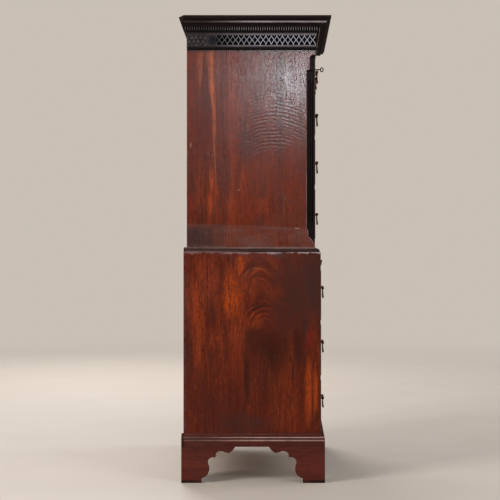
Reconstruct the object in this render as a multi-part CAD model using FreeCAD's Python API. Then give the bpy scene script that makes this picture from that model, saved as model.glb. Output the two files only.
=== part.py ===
"""Mahogany chest on chest with canted upper corners, fret frieze, brushing slide and bracket feet.

Millimetres, +Z up. The front faces -Y, and the origin is under the middle of the chest on the floor.
The upper and lower chests are built as on the bench: side panels, rails, dust boards and runners,
back boards, applied mouldings, and dovetailed drawers with cockbeads, locks and swan-neck handles.
"""
import FreeCAD, Part
import math
import os
from FreeCAD import Vector

# ---------------------------------------------------------------- driving dimensions
# whole case
UPPER_WIDTH = 1020.0
UPPER_DEPTH = 525.0
LOWER_SIDE_STEP = 23.0  # the lower chest stands out past the upper one at each side
LOWER_FRONT_STEP = 23.0
LOWER_BACK_STEP = 12.0
UPPER_SIDE_THICKNESS = 20.0
LOWER_SIDE_THICKNESS = 22.0
BACK_THICKNESS = 10.0
BACK_REBATE = 10.0  # width of the rebate that the back boards lie in
BACK_BOARD_COUNT = 5
BACK_BOARD_GAP = 1.0

# heights, from the floor up
FOOT_HEIGHT = 147.0
BOTTOM_RAIL_HEIGHT = 56.0
LOWER_DRAWER_HEIGHTS = (211.0, 210.0, 205.0)
RAIL_THICKNESS = 18.0
SLIDE_OPENING = 30.0
LOWER_TOP_RAIL_HEIGHT = 26.0
UPPER_BOTTOM_RAIL_HEIGHT = 53.0
UPPER_DRAWER_HEIGHTS = (206.0, 188.0, 172.0)
SHORT_DRAWER_HEIGHT = 150.0
FRIEZE_LIFT = 4.0  # the frieze starts this far above the short drawers
FRIEZE_HEIGHT = 73.0
CORNICE_HEIGHT = 61.0
DUST_TOP_RECESS = 14.0  # the case top lies this far below the cornice's top edge

# canted corners of the upper chest
CANT_LEG = 35.0
CANT_NECK_LEG = 22.5
CANT_FOOT_LEG = 28.5
CANT_STOP_DROP = 13.5  # crown of the arched stop, below the top of the short drawers
CANT_NECK_HEIGHT = 48.0
CANT_FOOT_RISE = 27.0  # end of the bottom stop, above the lower chest's top
CANT_FOOT_CURVE = 38.0
CANT_FOOT_HEIGHT = 24.0
FLUTE_COUNT = 3
FLUTE_RADIUS = 3.6
FLUTE_PITCH = 11.0
FLUTE_SINK = 0.9  # the flutes' axes lie this far outside the cant
FLUTE_MARGIN = 34.0
POST_STILE = 13.0  # flat left on the front between the cant and the drawers
POST_DEPTH = 45.0

# rails and inner boards
RAIL_DEPTH = 60.0
FASCIA_THICKNESS = 22.0
LOWER_TOP_EDGE = 3.0  # rounding of the lower sides' top edge
DIVIDER_WIDTH = 22.0
BOARD_THICKNESS = 18.0
DUST_BOARD_THICKNESS = 8.0
RUNNER_WIDTH = 60.0
GUIDE_HEIGHT = 30.0
STOP_WIDTH = 40.0
STOP_DEPTH = 22.0
STOP_HEIGHT = 5.0
STOP_INSET = 110.0

# mouldings
CORNICE_PROJECTION = 65.0
CORNICE_BAND_INSET = 48.0  # cornice edge in to the plain band that carries the drops
CORNICE_BAND_TOP = 36.0  # case top edge down to the band, and down to its lower edge
CORNICE_BAND_FOOT = 57.0
CORNICE_NECK_INSET = 57.0
CORNICE_TAIL = 33.0  # the returns run this far past the back at the top
CORNICE_TAIL_SPLAY = 25.0
CORNICE_TAIL_HEIGHT = 91.0
WAIST_PROJECTION = 19.2
WAIST_HEIGHT = 19.5
BASE_PROJECTION = 17.0
BASE_TAIL = 8.0
BASE_FASCIA_HEIGHT = 27.0
BASE_MOULDING_HEIGHT = 54.0

# frieze fret
FRET_GROUND = 4.0  # the ground that the fret is laid on stands out this far
FRET_THICKNESS = 2.2
FRET_HEIGHT = 48.0
FRET_PITCH = 22.0
FRET_BAR = 4.4
FRET_BASE = 7.0  # frieze bottom to the fret's lower edge, less the astragal
ASTRAGAL_HEIGHT = 6.0
END_BLOCK_LENGTH = 85.0
BOSS_RADIUS = 14.5
BOSS_RISE = 5.0

# bracket feet
BRACKET_THICKNESS = 22.0
FRONT_FOOT_EXTRA = 8.0
BRACKET_FOOT_WIDTH = 82.0
BRACKET_PAD_HEIGHT = 19.0
BRACKET_KNEE_WIDTH = 113.5
BRACKET_KNEE_DROP = 95.0  # base moulding down to the lower end of the knee
BRACKET_KNEE_STEP = 15.0
BRACKET_LOBE_DROP = 48.0
BRACKET_SPUR_WIDTH = 141.0
BRACKET_SPUR_DROP = 27.0
BRACKET_DIP_WIDTH = 195.0
BRACKET_WING_HANG = 20.0  # base moulding down to the wing's under edge
BRACKET_WIDTH = 220.0
BACK_BRACKET_LENGTH = 150.0
BACK_BRACKET_FOOT = 90.0
FOOT_BLOCK = 45.0
FOOT_BLOCK_LIFT = 3.0

# drawers
DRAWER_GAP = 1.0  # round a drawer front in its opening
RUNNING_GAP = 0.3  # under the drawer sides
JOINT = 0.1  # glue line between pieces that are cut to each other
FRONT_THICKNESS = 22.0
BEAD_THICKNESS = 3.0
BEAD_DEPTH = 8.0
BEAD_PROUD = 2.5
BEAD_NOSE = 1.0
DOVETAIL_LAP = 9.0
TAIL_SLOPE = 2.5
TAIL_SHARE = 0.6  # of the pitch, at a tail's root
TAIL_PITCH = 60.0
REAR_TAIL_PITCH = 80.0
LINING_THICKNESS = 10.0
DRAWER_BOTTOM_THICKNESS = 8.0
DRAWER_BOTTOM_RISE = 9.0
BOTTOM_STRIP_WIDTH = 9.0
SIDE_DROP = 5.0
UPPER_DRAWER_DEPTH = 500.0
LOWER_DRAWER_DEPTH = 530.0

# locks and keyholes
KEYHOLE_DROP = 45.0
KEYHOLE_RADIUS = 2.9
KEYHOLE_SLOT = 3.2
KEYHOLE_LENGTH = 10.0
ESCUTCHEON_RADIUS = 9.0
ESCUTCHEON_LENGTH = 12.0
ESCUTCHEON_THICKNESS = 1.2
LOCK_WIDTH = 64.0
LOCK_HEIGHT = 60.0
LOCK_THICKNESS = 10.0
LOCK_WALL = 1.5
BOLT_WIDTH = 24.0
BOLT_THICKNESS = 4.0
BOLT_THROW = 7.0
BOLT_FIT = 0.3
MORTISE_CLEARANCE = 1.5

# key
KEY_SHAFT_RADIUS = 2.4
KEY_REACH = 26.5  # shaft that shows in front of the drawer
KEY_COLLAR_GAP = 3.0  # keyhole plate to the key's collar
KEY_COLLAR_LENGTH = 3.0
KEY_COLLAR_RADIUS = 3.6
KEY_BOW_HEIGHT = 21.0
KEY_BOW_DEPTH = 15.5
KEY_BOW_THICKNESS = 3.0
KEY_BIT_LENGTH = 5.0
KEY_BIT_DROP = 8.0
KEY_BIT_THICKNESS = 2.2

# handles
POST_SPACING = 90.0
HANDLE_INSET = 96.0  # drawer end to the middle of its handle
LOWER_HANDLE_RISE = 28.0  # the lower handles stand this far above the middle of their drawers
ROSE_RADIUS = 11.0
ROSE_THICKNESS = 1.6
POST_NECK_RADIUS = 3.6
POST_HEAD_RADIUS = 6.0
PIVOT_REACH = 10.0  # pivot axis in front of the drawer front
PIN_RADIUS = 1.9
PIN_CLEARANCE = 0.08
PIN_DEPTH = 4.0
BAIL_DROP = 40.0
BAIL_NECK_RADIUS = 2.1
BAIL_GRIP_RADIUS = 4.0
BAIL_SHOULDER_RADIUS = 6.0
BAIL_TURN = 120.0
BAIL_BOW = 2.0  # the grip stands this far forward of the pivot
FACETS = 6  # sides of small turned and cast brass pieces

# brushing slide
SLIDE_THICKNESS = 24.0
SLIDE_DEPTH = 460.0
SLIDE_EDGE_DEPTH = 20.0
SLIDE_NOSE = 4.5
SLIDE_KNOB_SPACING = 500.0
SLIDE_KNOB_REACH = 12.5
SLIDE_KNOB_RADIUS = 7.0

# ---------------------------------------------------------------- levels and planes
half_upper = UPPER_WIDTH / 2
half_lower = half_upper + LOWER_SIDE_STEP
half_base = half_lower + BASE_PROJECTION
upper_front = (CORNICE_PROJECTION - UPPER_DEPTH - CORNICE_TAIL) / 2
upper_back = upper_front + UPPER_DEPTH
lower_front = upper_front - LOWER_FRONT_STEP
lower_back = upper_back + LOWER_BACK_STEP
base_front = lower_front - BASE_PROJECTION
base_back = lower_back + BASE_TAIL
upper_inside = half_upper - UPPER_SIDE_THICKNESS
lower_inside = half_lower - LOWER_SIDE_THICKNESS
upper_opening = half_upper - CANT_LEG - POST_STILE
upper_back_inside = upper_back - BACK_THICKNESS
lower_back_inside = lower_back - BACK_THICKNESS


def stacked(start, heights, gap):
    """(bottom, top) of openings of the given heights, from start up, a gap apart."""
    spans = []
    for height in heights:
        spans.append((start, start + height))
        start += height + gap
    return spans


lower_rows = stacked(FOOT_HEIGHT + BOTTOM_RAIL_HEIGHT, LOWER_DRAWER_HEIGHTS + (SLIDE_OPENING,), RAIL_THICKNESS)
slide_row = lower_rows[-1]
waist = slide_row[1] + LOWER_TOP_RAIL_HEIGHT
upper_rows = stacked(
    waist + UPPER_BOTTOM_RAIL_HEIGHT, UPPER_DRAWER_HEIGHTS + (SHORT_DRAWER_HEIGHT,), RAIL_THICKNESS
)
short_row = upper_rows[-1]
frieze_base = short_row[1] + FRIEZE_LIFT
cornice_base = frieze_base + FRIEZE_HEIGHT
cornice_top = cornice_base + CORNICE_HEIGHT
case_top = cornice_top - DUST_TOP_RECESS


# ---------------------------------------------------------------- helpers
def block(x, y, z):
    """A board between two limits along each axis."""
    (x0, x1), (y0, y1), (z0, z1) = sorted(x), sorted(y), sorted(z)
    return Part.makeBox(x1 - x0, y1 - y0, z1 - z0, Vector(x0, y0, z0))


def prism(points, along):
    """The closed polygon through the points, extruded."""
    return Part.Face(Part.makePolygon(points + points[:1])).extrude(along)


def outline(start, steps):
    """A wire from start through steps: a point is a straight run, a pair of points is an arc."""
    edges, at = [], start
    for step in steps:
        if isinstance(step, tuple):
            middle, end = step
            edges.append(Part.Arc(at, middle, end).toShape())
        else:
            end = step
            edges.append(Part.LineSegment(at, end).toShape())
        at = end
    if at.distanceToPoint(start) > JOINT / 1000:
        edges.append(Part.LineSegment(at, start).toShape())
    return Part.Wire(edges)


def mirrored(shape):
    """The same piece on the other side of the chest."""
    return shape.mirror(Vector(0, 0, 0), Vector(1, 0, 0))


def both_sides(shapes):
    return shapes + [mirrored(shape) for shape in shapes]


def flat_faces(corners):
    """One face through the corners, or triangles where they aren't in one plane."""
    a, b, c = corners[:3]
    normal = (b - a).cross(c - a)
    flat = all(abs(normal.dot(d - a)) < JOINT / 1000 for d in corners[3:])
    loops = [corners] if flat else [[a, b, c], [a] + corners[2:]]
    return [Part.Face(Part.makePolygon(loop + loop[:1])) for loop in loops]


def skinned(rings):
    """A solid through rings of equal numbers of points, closed by the first and last ring."""
    faces = flat_faces(rings[0]) + flat_faces(rings[-1])
    for lower, upper in zip(rings, rings[1:]):
        for i in range(len(lower)):
            j = (i + 1) % len(lower)
            faces += flat_faces([lower[i], lower[j], upper[j], upper[i]])
    shell = Part.makeShell(faces)
    shell.sewShape()
    solid = Part.makeSolid(shell)
    if solid.Volume < 0:
        solid.reverse()
    return solid


def facet_ring(centre, u, v, radius):
    """Points of a regular polygon about the centre, in the plane of u and v."""
    turns = [2 * math.pi * (i + 0.5) / FACETS for i in range(FACETS)]
    return [centre + u * (radius * math.cos(t)) + v * (radius * math.sin(t)) for t in turns]


def turned(x, z, sections):
    """A faceted turning about a line along Y. Sections are (y, radius)."""
    u, v = Vector(1, 0, 0), Vector(0, 0, 1)
    return skinned([facet_ring(Vector(x, y, z), u, v, radius) for y, radius in sections])


def rod(x, z, y0, y1, radius):
    """A plain round rod along Y."""
    low, high = sorted((y0, y1))
    return Part.makeCylinder(radius, high - low, Vector(x, low, z), Vector(0, 1, 0))


def write(node, shapes):
    """One STEP file for a node: one solid, or several side by side."""
    shape = shapes[0] if len(shapes) == 1 else Part.makeCompound(shapes)
    shape.exportStep(os.path.join("parts", node + ".step"))


# ---------------------------------------------------------------- mouldings
def mitred_run(profile, half_width, front, side_back, side_trims=()):
    """A moulding along the front and both sides, mitred at the two front corners.

    The profile is a wire in the YZ plane with y = 0 on the case and -y outwards.
    side_trims are solids that shape the rear end of the right-hand return.
    """
    reach = -profile.BoundBox.YMin + 1
    low, high = profile.BoundBox.ZMin - 1, profile.BoundBox.ZMax + 1
    glue = JOINT / 2
    face = Part.Face(profile)

    front_face = face.copy()
    front_face.translate(Vector(-half_width - reach, front, 0))
    front_run = front_face.extrude(Vector(2 * (half_width + reach), 0, 0))
    inner, outer = half_width - reach - glue, half_width + reach - glue
    keep_front = prism(
        [
            Vector(-outer, front - reach, low),
            Vector(outer, front - reach, low),
            Vector(inner, front + reach, low),
            Vector(-inner, front + reach, low),
        ],
        Vector(0, 0, high - low),
    )

    side_face = face.copy()
    side_face.rotate(Vector(0, 0, 0), Vector(0, 0, 1), 90)
    side_face.translate(Vector(half_width, front - reach, 0))
    side_run = side_face.extrude(Vector(0, side_back - front + reach, 0))
    keep_side = prism(
        [
            Vector(half_width + reach + glue, front - reach, low),
            Vector(half_width + reach + glue, side_back + 1, low),
            Vector(half_width - reach + glue, side_back + 1, low),
            Vector(half_width - reach + glue, front + reach, low),
        ],
        Vector(0, 0, high - low),
    )
    side = side_run.common(keep_side)
    for trim in side_trims:
        side = side.cut(trim)
    return [front_run.common(keep_front).Solids[0]] + both_sides([side.Solids[0]])


def raked_end(beyond):
    """Two cutters that rake and splay the rear end of the cornice's right-hand return."""
    foot = cornice_top - CORNICE_TAIL_HEIGHT
    span = half_upper + CORNICE_PROJECTION + 1
    rake = prism(
        [
            Vector(0, upper_back, frieze_base - 1),
            Vector(0, upper_back, foot),
            Vector(0, upper_back + CORNICE_TAIL, cornice_top),
            Vector(0, upper_back + CORNICE_TAIL, cornice_top + 1),
            Vector(0, upper_back + beyond, cornice_top + 1),
            Vector(0, upper_back + beyond, frieze_base - 1),
        ],
        Vector(span, 0, 0),
    )
    splay = prism(
        [
            Vector(half_upper, upper_back + CORNICE_TAIL, frieze_base - 1),
            Vector(half_upper + CORNICE_PROJECTION, upper_back + CORNICE_TAIL - CORNICE_TAIL_SPLAY,
                   frieze_base - 1),
            Vector(span, upper_back + CORNICE_TAIL - CORNICE_TAIL_SPLAY, frieze_base - 1),
            Vector(span, upper_back + beyond, frieze_base - 1),
            Vector(half_upper, upper_back + beyond, frieze_base - 1),
        ],
        Vector(0, 0, cornice_top - frieze_base + 2),
    )
    return [rake, splay]


def cornice_profile():
    """Top fillet, ovolo, fillet and cove over a plain band that carries the arcaded drops."""
    top, out = cornice_top, CORNICE_PROJECTION

    def at(projection, drop):
        return Vector(0, -projection, top - drop)

    return outline(
        at(0, 0),
        [
            at(out, 0),
            at(out, 7),
            at(out - 2, 7),
            at(out - 2, 9),
            (at(out - 6, 17), at(out - 16, 21)),
            at(out - 19, 21),
            at(out - 19, 28),
            at(out - 25, 28),
            (at(out - 38, 30), at(out - 43, CORNICE_BAND_TOP)),
            at(out - CORNICE_BAND_INSET, CORNICE_BAND_TOP),
            at(out - CORNICE_BAND_INSET, CORNICE_BAND_FOOT),
            at(out - CORNICE_NECK_INSET, CORNICE_BAND_FOOT),
            at(out - CORNICE_NECK_INSET, CORNICE_HEIGHT),
            at(0, CORNICE_HEIGHT),
        ],
    )


def frieze_profile():
    """Plain band, sunk ground for the fret, lower band and a small astragal."""
    def at(projection, rise):
        return Vector(0, -projection, frieze_base + rise)

    fret_low = ASTRAGAL_HEIGHT + FRET_BASE
    fret_high = fret_low + FRET_HEIGHT
    return outline(
        at(0, 0),
        [
            at(7, 0),
            (at(8.5, ASTRAGAL_HEIGHT / 2), at(7, ASTRAGAL_HEIGHT)),
            at(7, fret_low),
            at(FRET_GROUND, fret_low),
            at(FRET_GROUND, fret_high),
            at(7, fret_high),
            at(7, FRIEZE_HEIGHT),
            at(0, FRIEZE_HEIGHT),
        ],
    )


def waist_profile():
    """A flat cavetto over a small quarter round."""
    def at(projection, rise):
        return Vector(0, -projection, waist + rise)

    out, high = WAIST_PROJECTION, WAIST_HEIGHT
    return outline(
        at(0, 0),
        [
            at(out, 0),
            at(out, 2),
            (at(out - 0.9, 8), at(out - 4.4, 12.5)),
            at(out - 5.3, 12.5),
            (at(out - 14, 14.5), at(1.2, high)),
            at(0, high),
        ],
    )


def base_profile():
    """A cavetto and a quarter round over the flat fascia that the feet carry on."""
    def at(projection, rise):
        return Vector(0, -projection, FOOT_HEIGHT + rise)

    out, high, fascia = BASE_PROJECTION, BASE_MOULDING_HEIGHT, BASE_FASCIA_HEIGHT
    return outline(
        at(0, 0),
        [
            at(out, 0),
            at(out, fascia),
            (at(out - 0.8, fascia + 6), at(out - 4, fascia + 9.5)),
            at(out - 4, fascia + 13),
            (at(out - 10, fascia + 16), at(out - 15, high)),
            at(0, high),
        ],
    )


# ---------------------------------------------------------------- frieze fret
def fret_lattice(length):
    """Two crossing zigzag bars in the XZ plane from x = 0, one over the other, faces from y = 0.

    Each bar's centre line crosses the middle at every whole pitch and turns at every half pitch,
    as far up and down as leaves its outer edge just inside the rails of the frieze.
    """
    half_pitch = length / round(length / FRET_PITCH) / 2
    reach = FRET_HEIGHT / 2 - JOINT
    half_bar = FRET_BAR / 2
    lean = 1 - (half_bar / half_pitch) ** 2
    turn = (reach - math.sqrt(reach ** 2 - lean * (reach ** 2 - half_bar ** 2))) / lean
    layer = (FRET_THICKNESS - JOINT) / 2
    bars = []
    for y, first in ((0, 1), (layer + JOINT, -1)):
        centre_line, x, way = [(0, 0)], half_pitch, first
        while x < length:
            centre_line.append((x, way * turn))
            x, way = x + 2 * half_pitch, -way
        centre_line.append((length, 0))
        middle = FRET_HEIGHT / 2
        upper = [Vector(x, y, middle + z + (reach - turn)) for x, z in centre_line]
        lower = [Vector(x, y, middle + z - (reach - turn)) for x, z in centre_line]
        bars.append(prism(upper + lower[::-1], Vector(0, layer, 0)))
    return bars


def frieze_fret():
    """The applied fret along the front and both sides, with a carved block and a boss behind it."""
    ground = half_upper + FRET_GROUND
    face = upper_front - FRET_GROUND
    low = frieze_base + ASTRAGAL_HEIGHT + FRET_BASE
    front = fret_lattice(2 * ground)
    for bar in front:
        bar.translate(Vector(-ground, face - FRET_THICKNESS, low))

    boss_centre = upper_back - END_BLOCK_LENGTH - BOSS_RADIUS - JOINT
    lattice_back = boss_centre - BOSS_RADIUS - JOINT
    side = fret_lattice(lattice_back - face)
    for bar in side:
        bar.rotate(Vector(0, 0, 0), Vector(0, 0, 1), 90)
        bar.translate(Vector(ground + FRET_THICKNESS, face, low))
    end_block = block(
        (ground, ground + FRET_THICKNESS),
        (upper_back - END_BLOCK_LENGTH, upper_back),
        (low + JOINT, low + FRET_HEIGHT - JOINT),
    )
    middle = low + FRET_HEIGHT / 2
    up, along = Vector(0, 0, 1), Vector(0, 1, 0)
    steps = [(0, BOSS_RADIUS), (BOSS_RISE / 2, BOSS_RADIUS), (BOSS_RISE, BOSS_RADIUS * 0.6)]
    boss = skinned(
        [
            facet_ring(Vector(ground + rise, boss_centre, middle), along, up, radius)
            for rise, radius in steps
        ]
    )
    return front + both_sides(side + [end_block, boss])


# ---------------------------------------------------------------- case of the upper chest
def cant_cutter():
    """Everything outside the canted corner at the right: arched stop, neck, full cant, curved stop."""
    corner = Vector(half_upper, upper_front, 0)
    inwards = Vector(-1, 1, 0) / math.sqrt(2)
    across = Vector(1, 1, 0) / math.sqrt(2)
    crown = short_row[1] - CANT_STOP_DROP
    neck, leg, foot = (size / math.sqrt(2) for size in (CANT_NECK_LEG, CANT_LEG, CANT_FOOT_LEG))
    neck_top = crown - neck
    shoulder = neck_top - CANT_NECK_HEIGHT
    end = waist + CANT_FOOT_RISE
    curve = end + CANT_FOOT_CURVE
    step = curve + CANT_FOOT_HEIGHT

    def at(depth, z):
        return corner + inwards * depth + Vector(0, 0, z) - across * CANT_LEG * 2

    bevel = neck * (1 - math.sqrt(0.5))
    profile = outline(
        at(-1, crown),
        [
            at(0, crown),
            (at(neck - bevel, crown - bevel), at(neck, neck_top)),
            at(neck, shoulder),
            at(leg, shoulder),
            at(leg, step + CANT_FOOT_LEG / 4),
            at(foot, step),
            at(foot, curve),
            (at(foot * 0.36, curve - CANT_FOOT_CURVE * 0.52), at(0, end)),
            at(-1, end),
        ],
    )
    return Part.Face(profile).extrude(across * CANT_LEG * 4)


def flute_cutters():
    """Round-ended grooves down the full cant at the right."""
    out = Vector(1, -1, 0) / math.sqrt(2)
    across = Vector(1, 1, 0) / math.sqrt(2)
    middle = Vector(half_upper - CANT_LEG / 2, upper_front + CANT_LEG / 2, 0) + out * FLUTE_SINK
    low = waist + CANT_FOOT_RISE + CANT_FOOT_CURVE + CANT_FOOT_HEIGHT + FLUTE_MARGIN
    high = short_row[1] - CANT_STOP_DROP - CANT_NECK_LEG - CANT_NECK_HEIGHT - FLUTE_MARGIN
    cutters = []
    for i in range(FLUTE_COUNT):
        base = middle + across * (FLUTE_PITCH * (i - (FLUTE_COUNT - 1) / 2)) + Vector(0, 0, low)
        cutters.append(prism(facet_ring(base, out, across, FLUTE_RADIUS), Vector(0, 0, high - low)))
    return cutters


def upper_sides_and_posts():
    """Side panels rebated for the back, and the corner posts that the cant runs into."""
    side = block((upper_inside, half_upper), (upper_front, upper_back), (waist, case_top))
    rebate = block(
        (upper_inside, upper_inside + BACK_REBATE), (upper_back_inside, upper_back), (waist, case_top)
    )
    post = block((upper_opening, upper_inside), (upper_front, upper_front + POST_DEPTH), (waist, short_row[1]))
    cutters = [cant_cutter()] + flute_cutters()
    side = side.cut([rebate] + cutters).Solids[0]
    post = post.cut(cutters).Solids[0]
    return both_sides([side]), both_sides([post])


def back_boards(half_width, back, low, high):
    """Upright boards in the rebates, a shrinkage gap apart."""
    width = (2 * half_width - (BACK_BOARD_COUNT - 1) * BACK_BOARD_GAP) / BACK_BOARD_COUNT
    boards = []
    for i in range(BACK_BOARD_COUNT):
        x = -half_width + i * (width + BACK_BOARD_GAP)
        boards.append(block((x, x + width), (back - BACK_THICKNESS, back), (low, high)))
    return boards


def lock_mortise(x, front, top):
    """The slot in the rail above a drawer that its lock bolt rises into."""
    bolt = bolt_planes(front)
    return block(
        (x - BOLT_WIDTH / 2 - MORTISE_CLEARANCE, x + BOLT_WIDTH / 2 + MORTISE_CLEARANCE),
        (bolt[0] - MORTISE_CLEARANCE, bolt[1] + MORTISE_CLEARANCE),
        (top - 1, top + BOLT_THROW + MORTISE_CLEARANCE),
    )


def rail(half_width, front, depth, low, high, lock_centres):
    """A drawer rail, mortised from below for the bolts of the locks under it."""
    board = block((-half_width, half_width), (front, front + depth), (low, high))
    for x in lock_centres:
        board = board.cut(lock_mortise(x, front, low))
    return board


def upper_drawer_rails():
    rails = [
        rail(upper_opening, upper_front, FASCIA_THICKNESS, waist, upper_rows[0][0], []),
        rail(upper_inside, upper_front, FASCIA_THICKNESS, short_row[1], case_top, short_centres),
    ]
    for below, above in zip(upper_rows, upper_rows[1:]):
        rails.append(rail(upper_opening, upper_front, RAIL_DEPTH, below[1], above[0], [0]))
    divider = block((-DIVIDER_WIDTH / 2, DIVIDER_WIDTH / 2), (upper_front, upper_front + RAIL_DEPTH), short_row)
    return rails + [divider]


def runner_pair(inside, front, back, low, high):
    """Strips at both sides that the drawers run on."""
    return both_sides([block((inside - RUNNER_WIDTH, inside), (front, back), (low, high))])


def stops(x0, x1, front, level):
    """Two small blocks on a rail that a drawer front shuts against."""
    y = front + FRONT_THICKNESS + RUNNING_GAP
    span = (y, y + STOP_DEPTH), (level, level + STOP_HEIGHT)
    return [
        block((x0 + STOP_INSET, x0 + STOP_INSET + STOP_WIDTH), *span),
        block((x1 - STOP_INSET - STOP_WIDTH, x1 - STOP_INSET), *span),
    ]


def upper_inner_boards():
    """Top and bottom, dust boards, runners, guides, kickers and stops."""
    back = upper_back_inside
    deep = upper_front + RAIL_DEPTH
    thin = upper_front + FASCIA_THICKNESS
    behind_post = upper_front + POST_DEPTH
    pieces = [
        block((-upper_inside, upper_inside), (thin, back), (case_top - BOARD_THICKNESS, case_top)),
        block((-upper_inside, upper_inside), (behind_post, back), (waist, waist + BOARD_THICKNESS)),
    ]
    pieces += runner_pair(upper_inside, behind_post, back, waist + BOARD_THICKNESS, upper_rows[0][0])
    pieces += runner_pair(upper_inside, behind_post, back, short_row[1], short_row[1] + BOARD_THICKNESS)
    for below, above in zip(upper_rows, upper_rows[1:]):
        top_of_board = below[1] + DUST_BOARD_THICKNESS
        pieces.append(block((-upper_inside, upper_inside), (deep, back), (below[1], top_of_board)))
        pieces += runner_pair(upper_inside, deep, back, top_of_board, above[0])
    for low, _ in upper_rows:
        guide = block((upper_opening, upper_inside), (behind_post, back), (low, low + GUIDE_HEIGHT))
        if low != upper_rows[0][0]:
            guide = block((upper_opening, upper_inside), (deep, back), (low, low + GUIDE_HEIGHT))
        pieces += both_sides([guide])
    middle_runner = (-RUNNER_WIDTH, RUNNER_WIDTH)
    divider = (-DIVIDER_WIDTH / 2, DIVIDER_WIDTH / 2)
    level = short_row[0]
    pieces.append(block(middle_runner, (deep, back), (upper_rows[2][1] + DUST_BOARD_THICKNESS, level)))
    pieces.append(block(divider, (deep, back), (level, level + GUIDE_HEIGHT)))
    for low, _ in upper_rows[1:-1]:
        pieces += stops(-upper_opening, upper_opening, upper_front, low)
    for x0, x1 in short_spans:
        pieces += stops(x0, x1, upper_front, level)
    return pieces


# ---------------------------------------------------------------- case of the lower chest
def lower_side_panels():
    """Side panels rebated for the back, top edge rounded over."""
    side = block((lower_inside, half_lower), (lower_front, lower_back), (FOOT_HEIGHT, waist))
    rebate = block(
        (lower_inside, lower_inside + BACK_REBATE), (lower_back_inside, lower_back), (FOOT_HEIGHT, waist)
    )
    side = side.cut(rebate).Solids[0]
    top_edge = [
        e for e in side.Edges
        if e.BoundBox.XMin > half_lower - JOINT and e.BoundBox.ZMin > waist - JOINT
    ]
    return both_sides([side.makeFillet(LOWER_TOP_EDGE, top_edge)])


def lower_drawer_rails():
    rails = [
        rail(lower_inside, lower_front, FASCIA_THICKNESS, FOOT_HEIGHT, lower_rows[0][0], []),
        rail(lower_inside, lower_front, RAIL_DEPTH, slide_row[1], waist, []),
    ]
    for below, above in zip(lower_rows, lower_rows[1:]):
        rails.append(rail(lower_inside, lower_front, RAIL_DEPTH, below[1], above[0], [0]))
    return rails


def lower_inner_boards():
    """Top and bottom, dust boards, runners, kickers over the slide, and stops."""
    back = lower_back_inside
    deep = lower_front + RAIL_DEPTH
    thin = lower_front + FASCIA_THICKNESS
    floor_of_case = lower_rows[0][0] - BOARD_THICKNESS
    under_top = waist - BOARD_THICKNESS
    slide_top = slide_row[0] + RUNNING_GAP + SLIDE_THICKNESS
    pieces = [
        block((-lower_inside, lower_inside), (deep, back), (under_top, waist)),
        block((-lower_inside, lower_inside), (thin, back), (floor_of_case - BOARD_THICKNESS, floor_of_case)),
    ]
    pieces += runner_pair(lower_inside, thin, back, floor_of_case, lower_rows[0][0])
    pieces += runner_pair(lower_inside, deep, back, slide_top + RUNNING_GAP, under_top)
    for below, above in zip(lower_rows, lower_rows[1:]):
        top_of_board = below[1] + DUST_BOARD_THICKNESS
        pieces.append(block((-lower_inside, lower_inside), (deep, back), (below[1], top_of_board)))
        pieces += runner_pair(lower_inside, deep, back, top_of_board, above[0])
    for low, _ in lower_rows[1:-1]:
        pieces += stops(-lower_inside, lower_inside, lower_front, low)
    return pieces


# ---------------------------------------------------------------- bracket feet
def bracket_outline(extra):
    """Shaped bracket in the YZ plane: outer edge on y = 0, foot on z = 0, wing towards +y.

    The inner edge climbs from the foot in a hollow to the knee, round a small lobe to the spur,
    and along the double curve of the wing up to the base moulding.
    """
    top = FOOT_HEIGHT
    foot, knee, spur = BRACKET_FOOT_WIDTH + extra, BRACKET_KNEE_WIDTH + extra, BRACKET_SPUR_WIDTH + extra
    dip, tip = BRACKET_DIP_WIDTH + extra, BRACKET_WIDTH + extra
    knee_low, knee_high = top - BRACKET_KNEE_DROP, top - BRACKET_KNEE_DROP + BRACKET_KNEE_STEP
    lobe = top - BRACKET_LOBE_DROP
    spur_high = top - BRACKET_SPUR_DROP
    hang = BRACKET_WING_HANG

    def at(y, z):
        return Vector(0, y, z)

    return outline(
        Vector(0, 0, 0),
        [
            at(foot, 0),
            at(foot, BRACKET_PAD_HEIGHT),
            (at(foot + 0.7 * (knee - foot), BRACKET_PAD_HEIGHT + 0.36 * (knee_low - BRACKET_PAD_HEIGHT)),
             at(knee, knee_low)),
            at(knee, knee_high),
            (at(knee - 5, (knee_high + lobe) / 2), at(knee + 1, lobe)),
            (at((knee + spur) / 2, lobe + 5.5), at(spur - 1.5, lobe + 4)),
            at(spur, spur_high),
            (at((spur + dip) / 2 - 13, top - hang + 1.5), at((spur + dip) / 2, top - hang + 2)),
            (at(dip - 14, top - hang - 3), at(dip, top - hang - 5)),
            (at((dip + tip) / 2 + 1, top - 0.75 * hang), at(tip - 5, top - 0.35 * hang)),
            at(tip, top),
            Vector(0, 0, top),
        ],
    )


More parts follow.
